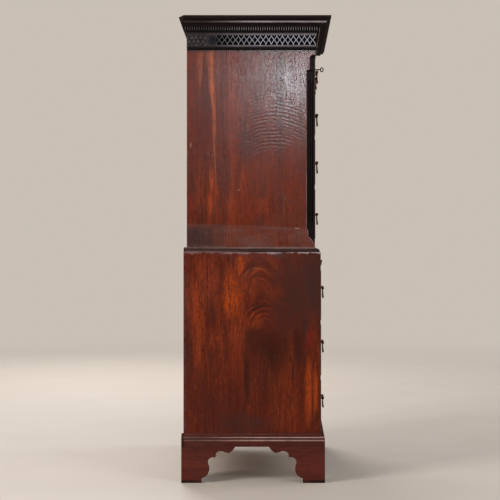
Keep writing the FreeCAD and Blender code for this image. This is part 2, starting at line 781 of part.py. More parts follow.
def bracket_feet():
    """Mitred pairs of brackets at the front, shaped side and plain back brackets at the rear."""
    thick = BRACKET_THICKNESS
    glue = JOINT / 2
    face = Part.Face(bracket_outline(FRONT_FOOT_EXTRA))
    side = face.extrude(Vector(thick, 0, 0))
    side.translate(Vector(half_base - thick, base_front, 0))
    front = face.copy()
    front.rotate(Vector(0, 0, 0), Vector(0, 0, 1), 90)
    front.translate(Vector(half_base, base_front, 0))
    front = front.extrude(Vector(0, thick, 0))
    reach = thick + 5

    def mitre(shift, outer):
        """The half-plane on one side of the corner's mitre, as a tall wedge."""
        corner = Vector(half_base + shift, base_front, -1)
        return prism(
            [corner + Vector(5, -5, 0), corner + Vector(-reach, reach, 0), corner + outer],
            Vector(0, 0, FOOT_HEIGHT + 2),
        )

    side = side.cut(mitre(glue, Vector(-reach, -5, 0))).Solids[0]
    front = front.cut(mitre(-glue, Vector(5, reach, 0))).Solids[0]

    rear = Part.Face(bracket_outline(0.0)).extrude(Vector(thick, 0, 0))
    rear = rear.mirror(Vector(0, 0, 0), Vector(0, 1, 0))
    rear.translate(Vector(half_base - thick, base_back, 0))
    inner = half_base - thick
    back = prism(
        [
            Vector(inner, lower_back - thick, 0),
            Vector(inner - BACK_BRACKET_FOOT, lower_back - thick, 0),
            Vector(inner - BACK_BRACKET_LENGTH, lower_back - thick, FOOT_HEIGHT),
            Vector(inner, lower_back - thick, FOOT_HEIGHT),
        ],
        Vector(0, thick, 0),
    )
    return both_sides([side, front, rear, back])


def foot_blocks():
    """Upright glue blocks behind the brackets, just clear of the floor."""
    inner = half_base - BRACKET_THICKNESS
    x = (inner - FOOT_BLOCK, inner)
    z = (FOOT_BLOCK_LIFT, FOOT_HEIGHT)
    near = base_front + BRACKET_THICKNESS
    far = lower_back - BRACKET_THICKNESS
    return both_sides([block(x, (near, near + FOOT_BLOCK), z), block(x, (far - FOOT_BLOCK, far), z)])


# ---------------------------------------------------------------- drawers
def tails(root, tip, low, high, pitch, grow):
    """Dovetails from a root plane to a tip plane, as (y, z) corners; grow widens them for sockets."""
    count = round((high - low) / pitch)
    step = (high - low) / count
    narrow = step * TAIL_SHARE / 2 + grow
    wide = narrow + TAIL_SLOPE
    levels = [low + step * (i + 0.5) for i in range(count)]
    return [[(root, z - narrow), (tip, z - wide), (tip, z + wide), (root, z + narrow)] for z in levels]


def side_outline(front, back, low, high, grow):
    """A drawer side in the YZ plane: its root planes, and its tails at the front and at the rear."""
    root, rear_root = front + FRONT_THICKNESS, back - LINING_THICKNESS
    front_tails = tails(root, front + DOVETAIL_LAP - grow, low, high, TAIL_PITCH, grow)
    rear_tails = tails(rear_root, back, low, high, REAR_TAIL_PITCH, grow)
    return root, rear_root, front_tails, rear_tails


def drawer_side(x, front, back, low, high):
    """The whole side, cut in one outline."""
    root, rear_root, front_tails, rear_tails = side_outline(front, back, low, high, 0)
    points = [(root, low)] + [p for tail in front_tails for p in tail] + [(root, high), (rear_root, high)]
    points += [p for tail in reversed(rear_tails) for p in reversed(tail)] + [(rear_root, low)]
    return prism([Vector(x[0], y, z) for y, z in points], Vector(x[1] - x[0], 0, 0))


def sockets(x, front, back, low, high):
    """Cutters for the front board and for the back board, a glue line larger than the tails."""
    _, _, front_tails, rear_tails = side_outline(front, back, low, high, JOINT)
    width = Vector(x[1] - x[0], 0, 0)

    def cutter(tail, over):
        """One tail, drawn on past the board's face so that the cut is clean."""
        (y0, z0), (y1, z1), (_, z2), (_, z3) = tail
        points = [(y0 + over[0], z0), (y0, z0), (y1, z1), (y1 + over[1], z1),
                  (y1 + over[1], z2), (y1, z2), (y0, z3), (y0 + over[0], z3)]
        unique = [p for i, p in enumerate(points) if i == 0 or p != points[i - 1]]
        return prism([Vector(x[0], y, z) for y, z in unique], width)

    return [cutter(t, (1, 0)) for t in front_tails], [cutter(t, (-1, 1)) for t in rear_tails]


def keyhole(x, z, y0, y1, grow=0.0):
    """A round eye over a slot, as a cutter along Y."""
    radius = KEYHOLE_RADIUS + grow
    half = KEYHOLE_SLOT / 2 + grow
    u, v = Vector(1, 0, 0), Vector(0, 0, 1)
    eye = facet_ring(Vector(x, y0, z), u, v, radius)
    drop = KEYHOLE_LENGTH + grow
    eye_cut = prism(eye, Vector(0, y1 - y0, 0))
    slot_cut = block((x - half, x + half), (y0, y1), (z - drop, z))
    return eye_cut.fuse(slot_cut).removeSplitter()


def cockbead(x, z, front):
    """Four mitred strips with eased noses round a drawer front."""
    (x0, x1), (z0, z1) = x, z
    t, j = BEAD_THICKNESS, JOINT / 2
    loops = [
        [(x0 + j, z1), (x1 - j, z1), (x1 - t - j, z1 - t), (x0 + t + j, z1 - t)],
        [(x0 + j, z0), (x1 - j, z0), (x1 - t - j, z0 + t), (x0 + t + j, z0 + t)],
        [(x0, z0 + j), (x0, z1 - j), (x0 + t, z1 - t - j), (x0 + t, z0 + t + j)],
        [(x1, z0 + j), (x1, z1 - j), (x1 - t, z1 - t - j), (x1 - t, z0 + t + j)],
    ]
    strips = []
    face = front - BEAD_PROUD
    for loop in loops:
        strip = prism([Vector(px, face, pz) for px, pz in loop], Vector(0, BEAD_DEPTH, 0))
        long_edges = [
            e for e in strip.Edges
            if e.BoundBox.YMax < face + JOINT and e.Length > 10 * BEAD_THICKNESS
        ]
        strips.append(strip.makeChamfer(BEAD_NOSE, long_edges))
    return strips


def bolt_planes(front):
    """Front and back planes of a lock bolt."""
    middle = front + FRONT_THICKNESS - LOCK_THICKNESS / 2
    return middle - BOLT_THICKNESS / 2, middle + BOLT_THICKNESS / 2


def lock_case(x, front, top, hollow):
    """The lock let into the back of a drawer front; hollow where its bolt and key turn in it."""
    back = front + FRONT_THICKNESS
    half = LOCK_WIDTH / 2 - JOINT
    near = back - LOCK_THICKNESS + JOINT
    case = block((x - half, x + half), (near, back), (top - LOCK_HEIGHT + JOINT, top))
    if not hollow:
        return case
    eye = top - KEYHOLE_DROP
    inside = block(
        (x - half + LOCK_WALL, x + half - LOCK_WALL),
        (near + LOCK_WALL, back - LOCK_WALL),
        (top - LOCK_HEIGHT + JOINT + LOCK_WALL, top - LOCK_WALL),
    )
    bolt = bolt_planes(front)
    slot = block(
        (x - BOLT_WIDTH / 2 - BOLT_FIT, x + BOLT_WIDTH / 2 + BOLT_FIT),
        (bolt[0] - BOLT_FIT, bolt[1] + BOLT_FIT),
        (top - 2 * LOCK_WALL, top + 1),
    )
    return case.cut([inside, slot, keyhole(x, eye, near - 1, near + LOCK_WALL + 1)]).Solids[0]


def escutcheon(x, z, front):
    """A thin keyhole plate on the drawer face."""
    half, tall = ESCUTCHEON_RADIUS, ESCUTCHEON_LENGTH
    points = [(-half * 0.45, tall), (half * 0.45, tall), (half, tall * 0.35), (half * 0.8, -tall * 0.8),
              (0, -tall * 1.35), (-half * 0.8, -tall * 0.8), (-half, tall * 0.35)]
    plate = prism(
        [Vector(x + px, front - ESCUTCHEON_THICKNESS, z + pz) for px, pz in points],
        Vector(0, ESCUTCHEON_THICKNESS, 0),
    )
    return plate.cut(keyhole(x, z, front - 2 * ESCUTCHEON_THICKNESS, front + 1)).Solids[0]


def handle_post(x, z, front):
    """Rose, waist and round head, bored across for the bail's pin."""
    pivot = front - PIVOT_REACH
    head = POST_HEAD_RADIUS
    post = turned(
        x, z,
        [
            (front, ROSE_RADIUS),
            (front - ROSE_THICKNESS, ROSE_RADIUS * 0.85),
            (pivot + head * 0.85, POST_NECK_RADIUS),
            (pivot + head * 0.45, head),
            (pivot - head * 0.45, head),
            (pivot - head, head * 0.5),
        ],
    )
    hole_radius = (PIN_RADIUS + PIN_CLEARANCE) / math.cos(math.pi / FACETS)
    ring = facet_ring(Vector(x - 2 * head, pivot, z), Vector(0, 1, 0), Vector(0, 0, 1), hole_radius)
    return post.cut(prism(ring, Vector(4 * head, 0, 0))).Solids[0]


def bail(x, z, front):
    """A swan-neck bail, hanging: pins in the posts, inward shoulders, wide sweep, swelled grip."""
    pivot = front - PIVOT_REACH
    half = POST_SPACING / 2
    pin_end = half - POST_HEAD_RADIUS + PIN_DEPTH
    shoulder = half - POST_HEAD_RADIUS - 2
    small = BAIL_SHOULDER_RADIUS
    turn = math.radians(BAIL_TURN)
    # the second arc turns back by the same angle and ends level at the bottom
    drop_of_first = small * (1 - math.cos(turn))
    large = (BAIL_DROP - drop_of_first) / (1 - math.cos(turn))
    first_steps, second_steps = 3, 3
    half_path = [(-pin_end, 0.0)]
    for i in range(first_steps + 1):
        t = turn * i / first_steps
        half_path.append((-shoulder + small * math.sin(t), -small * (1 - math.cos(t))))
    end_x, end_z = half_path[-1]
    centre_x = end_x + large * math.sin(turn)
    centre_z = end_z + large * math.cos(turn)
    for i in range(1, second_steps + 1):
        t = turn * (1 - i / second_steps)
        half_path.append((centre_x - large * math.sin(t), centre_z - large * math.cos(t)))
    path = half_path + [(-px, pz) for px, pz in reversed(half_path)]

    lowest = -BAIL_DROP
    rings = []
    for i, (px, pz) in enumerate(path):
        before = path[max(i - 1, 0)]
        after = path[min(i + 1, len(path) - 1)]
        tangent = Vector(after[0] - before[0], 0, after[1] - before[1]).normalize()
        normal = Vector(-tangent.z, 0, tangent.x)
        low_share = min(1.0, pz / lowest)
        radius = BAIL_NECK_RADIUS + (BAIL_GRIP_RADIUS - BAIL_NECK_RADIUS) * low_share ** 3
        if pz == 0 and abs(px) > shoulder - JOINT:
            radius = PIN_RADIUS
        centre = Vector(x + px, pivot - BAIL_BOW * low_share ** 2, z + pz)
        rings.append(facet_ring(centre, normal, Vector(0, 1, 0), radius))
    return skinned(rings)


def drawer(name, x, z, front, depth, handle_rise, hollow_lock=False):
    """Write one drawer's front, box, hardware and bails."""
    x0, x1 = x[0] + DRAWER_GAP, x[1] - DRAWER_GAP
    z0, z1 = z[0] + DRAWER_GAP, z[1] - DRAWER_GAP
    back = front + depth
    low, high = z[0] + RUNNING_GAP, z1 - SIDE_DROP
    behind_front = front + FRONT_THICKNESS
    middle = (x0 + x1) / 2
    eye = z1 - KEYHOLE_DROP
    side_spans = [(x0, x0 + LINING_THICKNESS), (x1 - LINING_THICKNESS, x1)]

    # front board, sunk for the cockbead, the tails, the lock and the keyhole
    board = block((x0, x1), (front, behind_front), (z0, z1))
    bead_back = front - BEAD_PROUD + BEAD_DEPTH + JOINT
    inset = BEAD_THICKNESS + JOINT
    rim = block((x0 - 1, x1 + 1), (front - 1, bead_back), (z0 - 1, z1 + 1)).cut(
        block((x0 + inset, x1 - inset), (front - 2, bead_back + 1), (z0 + inset, z1 - inset))
    )
    cutters = [rim, keyhole(middle, eye, front - 1, behind_front)]
    cutters.append(
        block(
            (middle - LOCK_WIDTH / 2, middle + LOCK_WIDTH / 2),
            (behind_front - LOCK_THICKNESS, behind_front + 1),
            (z1 - LOCK_HEIGHT, z1 + 1),
        )
    )
    back_cutters = []
    for (s0, s1), grow in zip(side_spans, ((-1, JOINT), (-JOINT, 1))):
        front_sockets, rear_sockets = sockets((s0 + grow[0], s1 + grow[1]), front, back, low, high)
        cutters += front_sockets
        back_cutters += rear_sockets
    handle_z = (z[0] + z[1]) / 2 + handle_rise
    handle_centres = [x0 + HANDLE_INSET, x1 - HANDLE_INSET]
    post_centres = [h + s * POST_SPACING / 2 for h in handle_centres for s in (-1, 1)]
    board = board.cut(cutters).Solids[0]
    write(name + "_drawer_front", [board] + cockbead((x0, x1), (z0, z1), front))

    # dovetailed box
    sides = [drawer_side(span, front, back, low, high) for span in side_spans]
    rear = block((x0, x1), (back - LINING_THICKNESS, back), (low, high)).cut(back_cutters).Solids[0]
    bottom_low = z[0] + DRAWER_BOTTOM_RISE
    inner = (x0 + LINING_THICKNESS + JOINT, x1 - LINING_THICKNESS - JOINT)
    y_span = (behind_front + JOINT, back - LINING_THICKNESS - JOINT)
    bottom = block(inner, y_span, (bottom_low, bottom_low + DRAWER_BOTTOM_THICKNESS))
    strips = [
        block((inner[0], inner[0] + BOTTOM_STRIP_WIDTH), y_span, (low, bottom_low - JOINT)),
        block((inner[1] - BOTTOM_STRIP_WIDTH, inner[1]), y_span, (low, bottom_low - JOINT)),
    ]
    write(name + "_drawer_box", sides + [rear, bottom] + strips)

    # brass
    brass = [lock_case(middle, front, z1, hollow_lock), escutcheon(middle, eye, front)]
    brass += [handle_post(px, handle_z, front) for px in post_centres]
    write(name + "_drawer_hardware", brass)
    for side_name, px in zip(("left", "right"), handle_centres):
        write(f"{name}_{side_name}_bail", [bail(px, handle_z, front)])


def key_and_bolt(x, front, top):
    """The key standing in the lock of one short drawer, and the bolt that it throws."""
    eye = top - KEYHOLE_DROP
    lock_near = front + FRONT_THICKNESS - LOCK_THICKNESS + LOCK_WALL + JOINT
    lock_far = front + FRONT_THICKNESS - LOCK_WALL
    tip = lock_far - BOLT_FIT
    shoulder = front - ESCUTCHEON_THICKNESS - KEY_COLLAR_GAP
    reach = front - KEY_REACH
    shaft = rod(x, eye, tip, reach - KEY_BOW_THICKNESS / 2, KEY_SHAFT_RADIUS)
    collar_ends = [(shoulder, KEY_COLLAR_RADIUS), (shoulder - KEY_COLLAR_LENGTH, KEY_COLLAR_RADIUS)]
    collar = turned(x, eye, collar_ends)
    bit_near = lock_near + BOLT_FIT
    bit = block(
        (x - KEY_BIT_THICKNESS / 2, x + KEY_BIT_THICKNESS / 2),
        (bit_near, min(bit_near + KEY_BIT_LENGTH, tip)),
        (eye - KEY_BIT_DROP, eye),
    )
    centre = Vector(x, reach - KEY_BOW_DEPTH / 2, eye)
    turns = [2 * math.pi * i / (2 * FACETS) for i in range(2 * FACETS)]

    def oval(grow):
        half_depth, half_height = KEY_BOW_DEPTH / 2 + grow, KEY_BOW_HEIGHT / 2 + grow
        return [
            centre + Vector(-KEY_BOW_THICKNESS / 2, half_depth * math.cos(t), half_height * math.sin(t))
            for t in turns
        ]

    across = Vector(KEY_BOW_THICKNESS, 0, 0)
    bow = prism(oval(0), across).cut(prism(oval(-KEY_BOW_THICKNESS), across))
    key = shaft.fuse([collar, bit, bow]).removeSplitter()
    bolt_low = eye + KEY_BIT_DROP + 2
    bolt = block(
        (x - BOLT_WIDTH / 2, x + BOLT_WIDTH / 2), bolt_planes(front), (bolt_low, top)
    )
    return key, bolt


# ---------------------------------------------------------------- brushing slide
def brushing_slide():
    """The slide board behind a moulded front edge, and two small knobs."""
    half = lower_inside - DRAWER_GAP
    low, high = slide_row[0] + DRAWER_GAP / 2, slide_row[1] - DRAWER_GAP
    y = lower_front
    nose = SLIDE_NOSE

    def at(out, z):
        return Vector(-half, y - out, z)

    middle = (low + high) / 2
    edge_profile = outline(
        Vector(-half, y + SLIDE_EDGE_DEPTH, low),
        [
            at(0, low),
            (at(nose * 0.8, low + 3), at(nose * 0.5, low + 6)),
            at(nose * 0.8, low + 6),
            (at(nose, middle - 2), at(nose * 0.7, middle + 4)),
            (at(nose * 0.25, high - 6), at(0, high)),
            Vector(-half, y + SLIDE_EDGE_DEPTH, high),
        ],
    )
    edge = Part.Face(edge_profile).extrude(Vector(2 * half, 0, 0))
    board = block(
        (-half, half),
        (y + SLIDE_EDGE_DEPTH + JOINT, y + SLIDE_DEPTH),
        (slide_row[0] + RUNNING_GAP, slide_row[0] + RUNNING_GAP + SLIDE_THICKNESS),
    )
    knobs = []
    for x in (-SLIDE_KNOB_SPACING / 2, SLIDE_KNOB_SPACING / 2):
        radius, reach = SLIDE_KNOB_RADIUS, SLIDE_KNOB_REACH
        seat = y - nose - JOINT
        knobs.append(
            turned(
                x, middle,
                [
                    (seat, radius * 0.7),
                    (seat - 1.5, radius * 0.45),
                    (y - reach * 0.55, radius * 0.45),
                    (y - reach * 0.7, radius),
                    (y - reach * 0.9, radius),
                    (y - reach, radius * 0.55),
                ],
            )
        )
    return [edge, board], knobs


# ---------------------------------------------------------------- the whole chest
short_half = DIVIDER_WIDTH / 2
short_spans = [(-upper_opening, -short_half), (short_half, upper_opening)]
short_centres = [(x0 + x1) / 2 for x0, x1 in short_spans]


def main():
    os.makedirs("parts", exist_ok=True)

    side_panels, corner_posts = upper_sides_and_posts()
    write("upper_side_panels", side_panels)
    write("upper_corner_posts", corner_posts)
    write("upper_drawer_rails", upper_drawer_rails())
    write("upper_inner_boards", upper_inner_boards())
    write("upper_back_boards", back_boards(upper_inside + BACK_REBATE, upper_back, waist, case_top))
    trims = raked_end(CORNICE_TAIL + 2)
    tail = upper_back + CORNICE_TAIL + 1
    write("cornice_moulding", mitred_run(cornice_profile(), half_upper, upper_front, tail, trims))
    write("frieze_boards", mitred_run(frieze_profile(), half_upper, upper_front, tail, trims))
    write("frieze_fret", frieze_fret())

    write("lower_side_panels", lower_side_panels())
    write("lower_drawer_rails", lower_drawer_rails())
    write("lower_inner_boards", lower_inner_boards())
    write("lower_back_boards", back_boards(lower_inside + BACK_REBATE, lower_back, FOOT_HEIGHT, waist))
    write("waist_moulding", mitred_run(waist_profile(), half_upper, upper_front, lower_back))
    write("base_moulding", mitred_run(base_profile(), half_lower, lower_front, base_back))
    write("bracket_feet", bracket_feet())
    write("foot_blocks", foot_blocks())

    slide, knobs = brushing_slide()
    write("brushing_slide", slide)
    write("brushing_slide_knobs", knobs)

    lower_opening = (-lower_inside, lower_inside)
    for name, row in zip(("lower_third", "lower_second", "lower_first"), lower_rows):
        drawer(name, lower_opening, row, lower_front, LOWER_DRAWER_DEPTH, LOWER_HANDLE_RISE)
    upper_span = (-upper_opening, upper_opening)
    for name, row in zip(("upper_third", "upper_second", "upper_first"), upper_rows):
        drawer(name, upper_span, row, upper_front, UPPER_DRAWER_DEPTH, 0)
    for name, span in zip(("short_left", "short_right"), short_spans):
        drawer(name, span, short_row, upper_front, UPPER_DRAWER_DEPTH, 0, hollow_lock=name == "short_left")

    key, bolt = key_and_bolt(short_centres[0], upper_front, short_row[1] - DRAWER_GAP)
    write("drawer_key", [key])
    write("drawer_lock_bolt", [bolt])
    print(f"height {cornice_top:.1f} mm, width {2 * (half_upper + CORNICE_PROJECTION):.1f} mm")


main()
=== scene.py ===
import math

import bmesh
import bpy
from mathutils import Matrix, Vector


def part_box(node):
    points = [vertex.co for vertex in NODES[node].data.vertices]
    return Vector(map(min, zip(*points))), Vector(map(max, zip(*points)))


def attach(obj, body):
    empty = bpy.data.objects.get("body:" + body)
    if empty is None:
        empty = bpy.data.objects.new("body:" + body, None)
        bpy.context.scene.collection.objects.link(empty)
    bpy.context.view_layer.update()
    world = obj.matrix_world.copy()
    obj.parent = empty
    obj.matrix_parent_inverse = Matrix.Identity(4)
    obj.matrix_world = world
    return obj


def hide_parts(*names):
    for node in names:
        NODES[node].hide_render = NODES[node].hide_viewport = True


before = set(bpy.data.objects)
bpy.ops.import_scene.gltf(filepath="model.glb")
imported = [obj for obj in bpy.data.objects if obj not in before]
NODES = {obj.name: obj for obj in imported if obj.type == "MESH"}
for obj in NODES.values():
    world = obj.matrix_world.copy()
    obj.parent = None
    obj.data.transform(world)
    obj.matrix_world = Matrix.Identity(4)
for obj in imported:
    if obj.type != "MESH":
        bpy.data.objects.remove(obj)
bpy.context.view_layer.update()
MM = 0.001
FLOAT, VECTOR, COLOUR = "NodeSocketFloat", "NodeSocketVector", "NodeSocketColor"

DRAWERS = ("short_left", "short_right", "upper_first", "upper_second", "upper_third",
           "lower_first", "lower_second", "lower_third")
HANDLE_SIDES = ("left", "right")
UPPER_HALF = 0.510  # centre line to the outside of the upper chest's side
UPPER_FRONT = -0.2465
LOWER_FRONT = -0.2695
FRET_PLANE = 0.514  # centre line to the frieze's face

LENS_LENGTH, SENSOR_WIDTH = 106.56, 36.0  # mm
LENS_SHIFT = (-0.0736, -0.0272)
CAMERA_PLACE = (-6.569, -0.1311, 1.003)


# ---------------------------------------------------------------- camera and lamps

def camera():
    lens = bpy.data.cameras.new("camera")
    lens.lens, lens.sensor_width = LENS_LENGTH, SENSOR_WIDTH
    lens.shift_x, lens.shift_y = LENS_SHIFT
    view = bpy.data.objects.new("camera", lens)
    view.location = CAMERA_PLACE
    view.rotation_euler = (math.radians(90), 0, math.radians(-90))
    bpy.context.scene.collection.objects.link(view)
    bpy.context.scene.camera = view


def lamp(name, place, aim, width, height, watts, colour=(1, 1, 1)):
    light = bpy.data.lights.new(name, "AREA")
    light.shape = "RECTANGLE"
    light.size, light.size_y = width, height
    light.energy = watts
    light.color = colour
    holder = bpy.data.objects.new(name, light)
    holder.location = place
    holder.rotation_euler = (Vector(aim) - Vector(place)).to_track_quat("-Z", "Y").to_euler()
    holder.visible_camera = False
    bpy.context.scene.collection.objects.link(holder)


def shade(red, green, blue):
    """A finish colour in display values, as the linear colour that the shaders take."""
    def linear(value):
        value /= 255
        return value / 12.92 if value <= 0.04045 else ((value + 0.055) / 1.055) ** 2.4
    return linear(red), linear(green), linear(blue), 1.0


# ---------------------------------------------------------------- tones of polish, wear, grime, painted highlights and painted shade

# mahogany under old polish, from its brightest strands to its darkest heart
STREAK, FLAME, EMBER = shade(168, 82, 40), shade(154, 60, 16), shade(130, 50, 20)
HONEY, COPPER, RUST = shade(128, 74, 42), shade(128, 54, 32), shade(110, 38, 18)
CHERRY, GARNET, WINE = shade(112, 28, 18), shade(84, 22, 12), shade(62, 29, 24)
SMOKE, DUSK, UMBER, CHAR = shade(61, 35, 31), shade(49, 33, 32), shade(44, 19, 13), shade(34, 13, 8)
MAHOGANY, OXBLOOD, PLUM = shade(79, 36, 30), shade(62, 26, 21), shade(84, 56, 58)
# edges rubbed through, and painted highlights on edges and fillets, from faint to bright
DIM, BARK, HIDE, DUST_AND_SHEEN = shade(35, 25, 23), shade(60, 45, 39), shade(84, 65, 54), shade(103, 77, 72)
ROSE, FAWN, BLUSH, CREAM = shade(112, 83, 77), shade(134, 104, 98), shade(170, 136, 126), shade(196, 156, 144)
# the dark ornament of the cornice and frieze, with its painted highlights
SLATE, LEAF, PEWTER = shade(53, 45, 47), shade(94, 86, 82), shade(118, 110, 115)
STEEL, GREY_RUB_AND_HIGHLIGHT, SILVER = shade(141, 132, 130), shade(158, 138, 140), shade(192, 180, 184)
# painted shade, with grime, in quirks and hollows
MOLE, CHESTNUT, NEAR_BLACK = shade(57, 38, 34), shade(44, 25, 22), shade(22, 11, 9)
SHADE_AND_GRIME, INK = shade(12, 8, 7), shade(5, 4, 3)


# ---------------------------------------------------------------- node helpers

def put(tree, kind, feeds=(), **settings):
    """Adds a node; feeds gives a value or a socket for inputs by name or number."""
    made = tree.nodes.new(kind)
    for key, value in settings.items():
        setattr(made, key, value)
    for key, value in dict(feeds).items():
        feed(tree, made.inputs[key], value)
    return made


def feed(tree, socket, value):
    if isinstance(value, bpy.types.NodeSocket):
        tree.links.new(value, socket)
    else:
        socket.default_value = value


def reckon(tree, operation, *values):
    return put(tree, "ShaderNodeMath", enumerate(values), operation=operation).outputs[0]


def plus(tree, first, second):
    return reckon(tree, "ADD", first, second)


def less(tree, first, second):
    return reckon(tree, "SUBTRACT", first, second)


def times(tree, first, second):
    return reckon(tree, "MULTIPLY", first, second)


def swayed(tree, value, noise, reach):
    """A value moved to and fro by a noise that lies about a half."""
    return reckon(tree, "MULTIPLY_ADD", less(tree, noise, 0.5), reach, value)


def tint(tree, share, below, above):
    """One colour laid over another: below shows where share is 0, and above where it is 1."""
    return put(tree, "ShaderNodeMix", {0: share, 6: below, 7: above}, data_type="RGBA").outputs[2]


def ranged(tree, value, low, high, to_low=0.0, to_high=1.0):
    """Spreads a value from one range to another, smoothly and held at both ends."""
    return put(tree, "ShaderNodeMapRange", enumerate((value, low, high, to_low, to_high)),
               interpolation_type="SMOOTHSTEP").outputs[0]


def object_place(tree):
    return put(tree, "ShaderNodeTexCoord").outputs["Object"]


def split(tree, place):
    return put(tree, "ShaderNodeSeparateXYZ", {0: place}).outputs


def object_axes(tree):
    return split(tree, object_place(tree))


def gathered(tree, x, y, z):
    return put(tree, "ShaderNodeCombineXYZ", enumerate((x, y, z))).outputs[0]


def cloud(tree, vector, scale, detail, roughness=0.5):
    """A noise about a half; scale is its spots to a metre."""
    feeds = {"Vector": vector, "Scale": scale, "Detail": detail, "Roughness": roughness}
    return put(tree, "ShaderNodeTexNoise", feeds).outputs[0]


def speckle(tree, across, through, along, close, slow, detail=2.0, roughness=0.5):
    """A noise drawn out along a board: close is its spots to a metre across, and slow along."""
    place = gathered(tree, times(tree, across, close), through, times(tree, along, slow))
    return cloud(tree, place, 1.0, detail, roughness)


def new_group(name, ins, outs):
    tree = bpy.data.node_groups.new(name, "ShaderNodeTree")
    for label, kind, value in ins:
        tree.interface.new_socket(label, in_out="INPUT", socket_type=kind).default_value = value
    for label, kind in outs:
        tree.interface.new_socket(label, in_out="OUTPUT", socket_type=kind)
    given, out = tree.nodes.new("NodeGroupInput").outputs, tree.nodes.new("NodeGroupOutput").inputs
    return tree, given, out


def use(tree, group, feeds=()):
    return put(tree, "ShaderNodeGroup", feeds, node_tree=group).outputs


def span(tree, u, v):
    """The length of a step that goes u one way and v square to it."""
    return reckon(tree, "SQRT", reckon(tree, "MULTIPLY_ADD", u, u, times(tree, v, v)))


# ---------------------------------------------------------------- shared effects

def grain_lines():
    """Growth rings as a board cuts them: straight, or arched above a foot where Bend isn't nought.
    Place is across, through and along the board."""
    tree, given, out = new_group(
        "grain_lines",
        [("Place", VECTOR, (0, 0, 0)), ("Heart", FLOAT, -3.0), ("Foot", FLOAT, 0.0),
         ("Bend", FLOAT, 0.0), ("Lean", FLOAT, 0.0), ("Wander", FLOAT, 0.016)],
        [("Ring", FLOAT), ("Broad", FLOAT), ("Streak", FLOAT), ("Fibre", FLOAT), ("Pores", FLOAT)],
    )
    across, through, along = split(tree, given["Place"])
    drift = speckle(tree, across, through, along, 5, 2.2)
    drift = times(tree, less(tree, drift, 0.5), given["Wander"])
    off = plus(tree, less(tree, across, given["Heart"]), times(tree, drift, 2))
    climb = reckon(tree, "SMOOTH_MAX", less(tree, along, given["Foot"]), 0.0, 0.12)
    off = less(tree, off, times(tree, climb, given["Lean"]))
    ring = reckon(tree, "SQRT", reckon(tree, "MULTIPLY_ADD", climb, given["Bend"], times(tree, off, off)))
    skew = times(tree, off, 2.0)
    fibre = speckle(tree, ring, through, along, 280, 15, 3.0, 0.80)
    mottle = speckle(tree, across, through, along, 120, 70, 3.0, 0.65)
    pores = speckle(tree, across, through, along, 1500, 60, 1.0)
    tree.links.new(ring, out["Ring"])
    tree.links.new(speckle(tree, ring, skew, along, 16, 0.7, 2.0, 0.55), out["Broad"])
    tree.links.new(speckle(tree, ring, skew, along, 90, 3.0, 3.0, 0.62), out["Streak"])
    tree.links.new(swayed(tree, fibre, mottle, 0.45), out["Fibre"])
    tree.links.new(ranged(tree, pores, 0.60, 0.72), out["Pores"])
    return tree


def wood_tone():
    """The polish colour of a board from its grain, between a dark, a middle and a light tone."""
    tree, given, out = new_group(
        "wood_tone",
        [("Broad", FLOAT, 0.5), ("Streak", FLOAT, 0.5), ("Fibre", FLOAT, 0.5), ("Pores", FLOAT, 0.0),
         ("Broad Share", FLOAT, 1.3), ("Streak Share", FLOAT, 1.5), ("Fibre Share", FLOAT, 1.9),
         ("Contrast", FLOAT, 1.0), ("Dark", COLOUR, (0, 0, 0, 1)), ("Middle", COLOUR, (0, 0, 0, 1)),
         ("Light", COLOUR, (0, 0, 0, 1))],
        [("Color", COLOUR), ("Tone", FLOAT)],
    )
    tone = times(tree, less(tree, given["Broad"], 0.5), given["Broad Share"])
    for part in ("Streak", "Fibre"):
        tone = swayed(tree, tone, given[part], given[part + " Share"])
    tone = reckon(tree, "MULTIPLY_ADD", tone, given["Contrast"], 0.5)
    lower = tint(tree, ranged(tree, tone, 0.0, 0.5), given["Dark"], given["Middle"])
    whole = tint(tree, ranged(tree, tone, 0.5, 1.0), lower, given["Light"])
    pored = tint(tree, times(tree, given["Pores"], 0.35), whole, given["Dark"])
    tree.links.new(pored, out["Color"])
    tree.links.new(tone, out["Tone"])
    return tree


def soft_patch():
    """A soft-edged patch on a board, with a ragged rim: 1 in the middle, 0 well outside."""
    tree, given, out = new_group(
        "soft_patch",
        [("Place", VECTOR, (0, 0, 0)), ("Across", FLOAT, 0.0), ("Along", FLOAT, 0.0),
         ("Half Width", FLOAT, 0.1), ("Half Length", FLOAT, 0.1), ("Ragged", FLOAT, 0.5)],
        [("Mask", FLOAT)],
    )
    across, through, along = split(tree, given["Place"])
    u = reckon(tree, "DIVIDE", less(tree, across, given["Across"]), given["Half Width"])
    v = reckon(tree, "DIVIDE", less(tree, along, given["Along"]), given["Half Length"])
    rim = speckle(tree, across, through, along, 38, 11, 3.0, 0.6)
    reach = swayed(tree, span(tree, u, v), rim, given["Ragged"])
    tree.links.new(ranged(tree, reach, 0.25, 1.1, 1.0, 0.0), out["Mask"])
    return tree


def ring_band():
    """One growth ring picked out: 1 along the ring of the given size, fading over its width."""
    tree, given, out = new_group(
        "ring_band", [("Ring", FLOAT, 0.0), ("Size", FLOAT, 0.1), ("Width", FLOAT, 0.01)], [("Mask", FLOAT)]
    )
    off = reckon(tree, "DIVIDE", less(tree, given["Ring"], given["Size"]), given["Width"])
    tree.links.new(ranged(tree, reckon(tree, "ABSOLUTE", off), 0.0, 1.0, 1.0, 0.0), out["Mask"])
    return tree


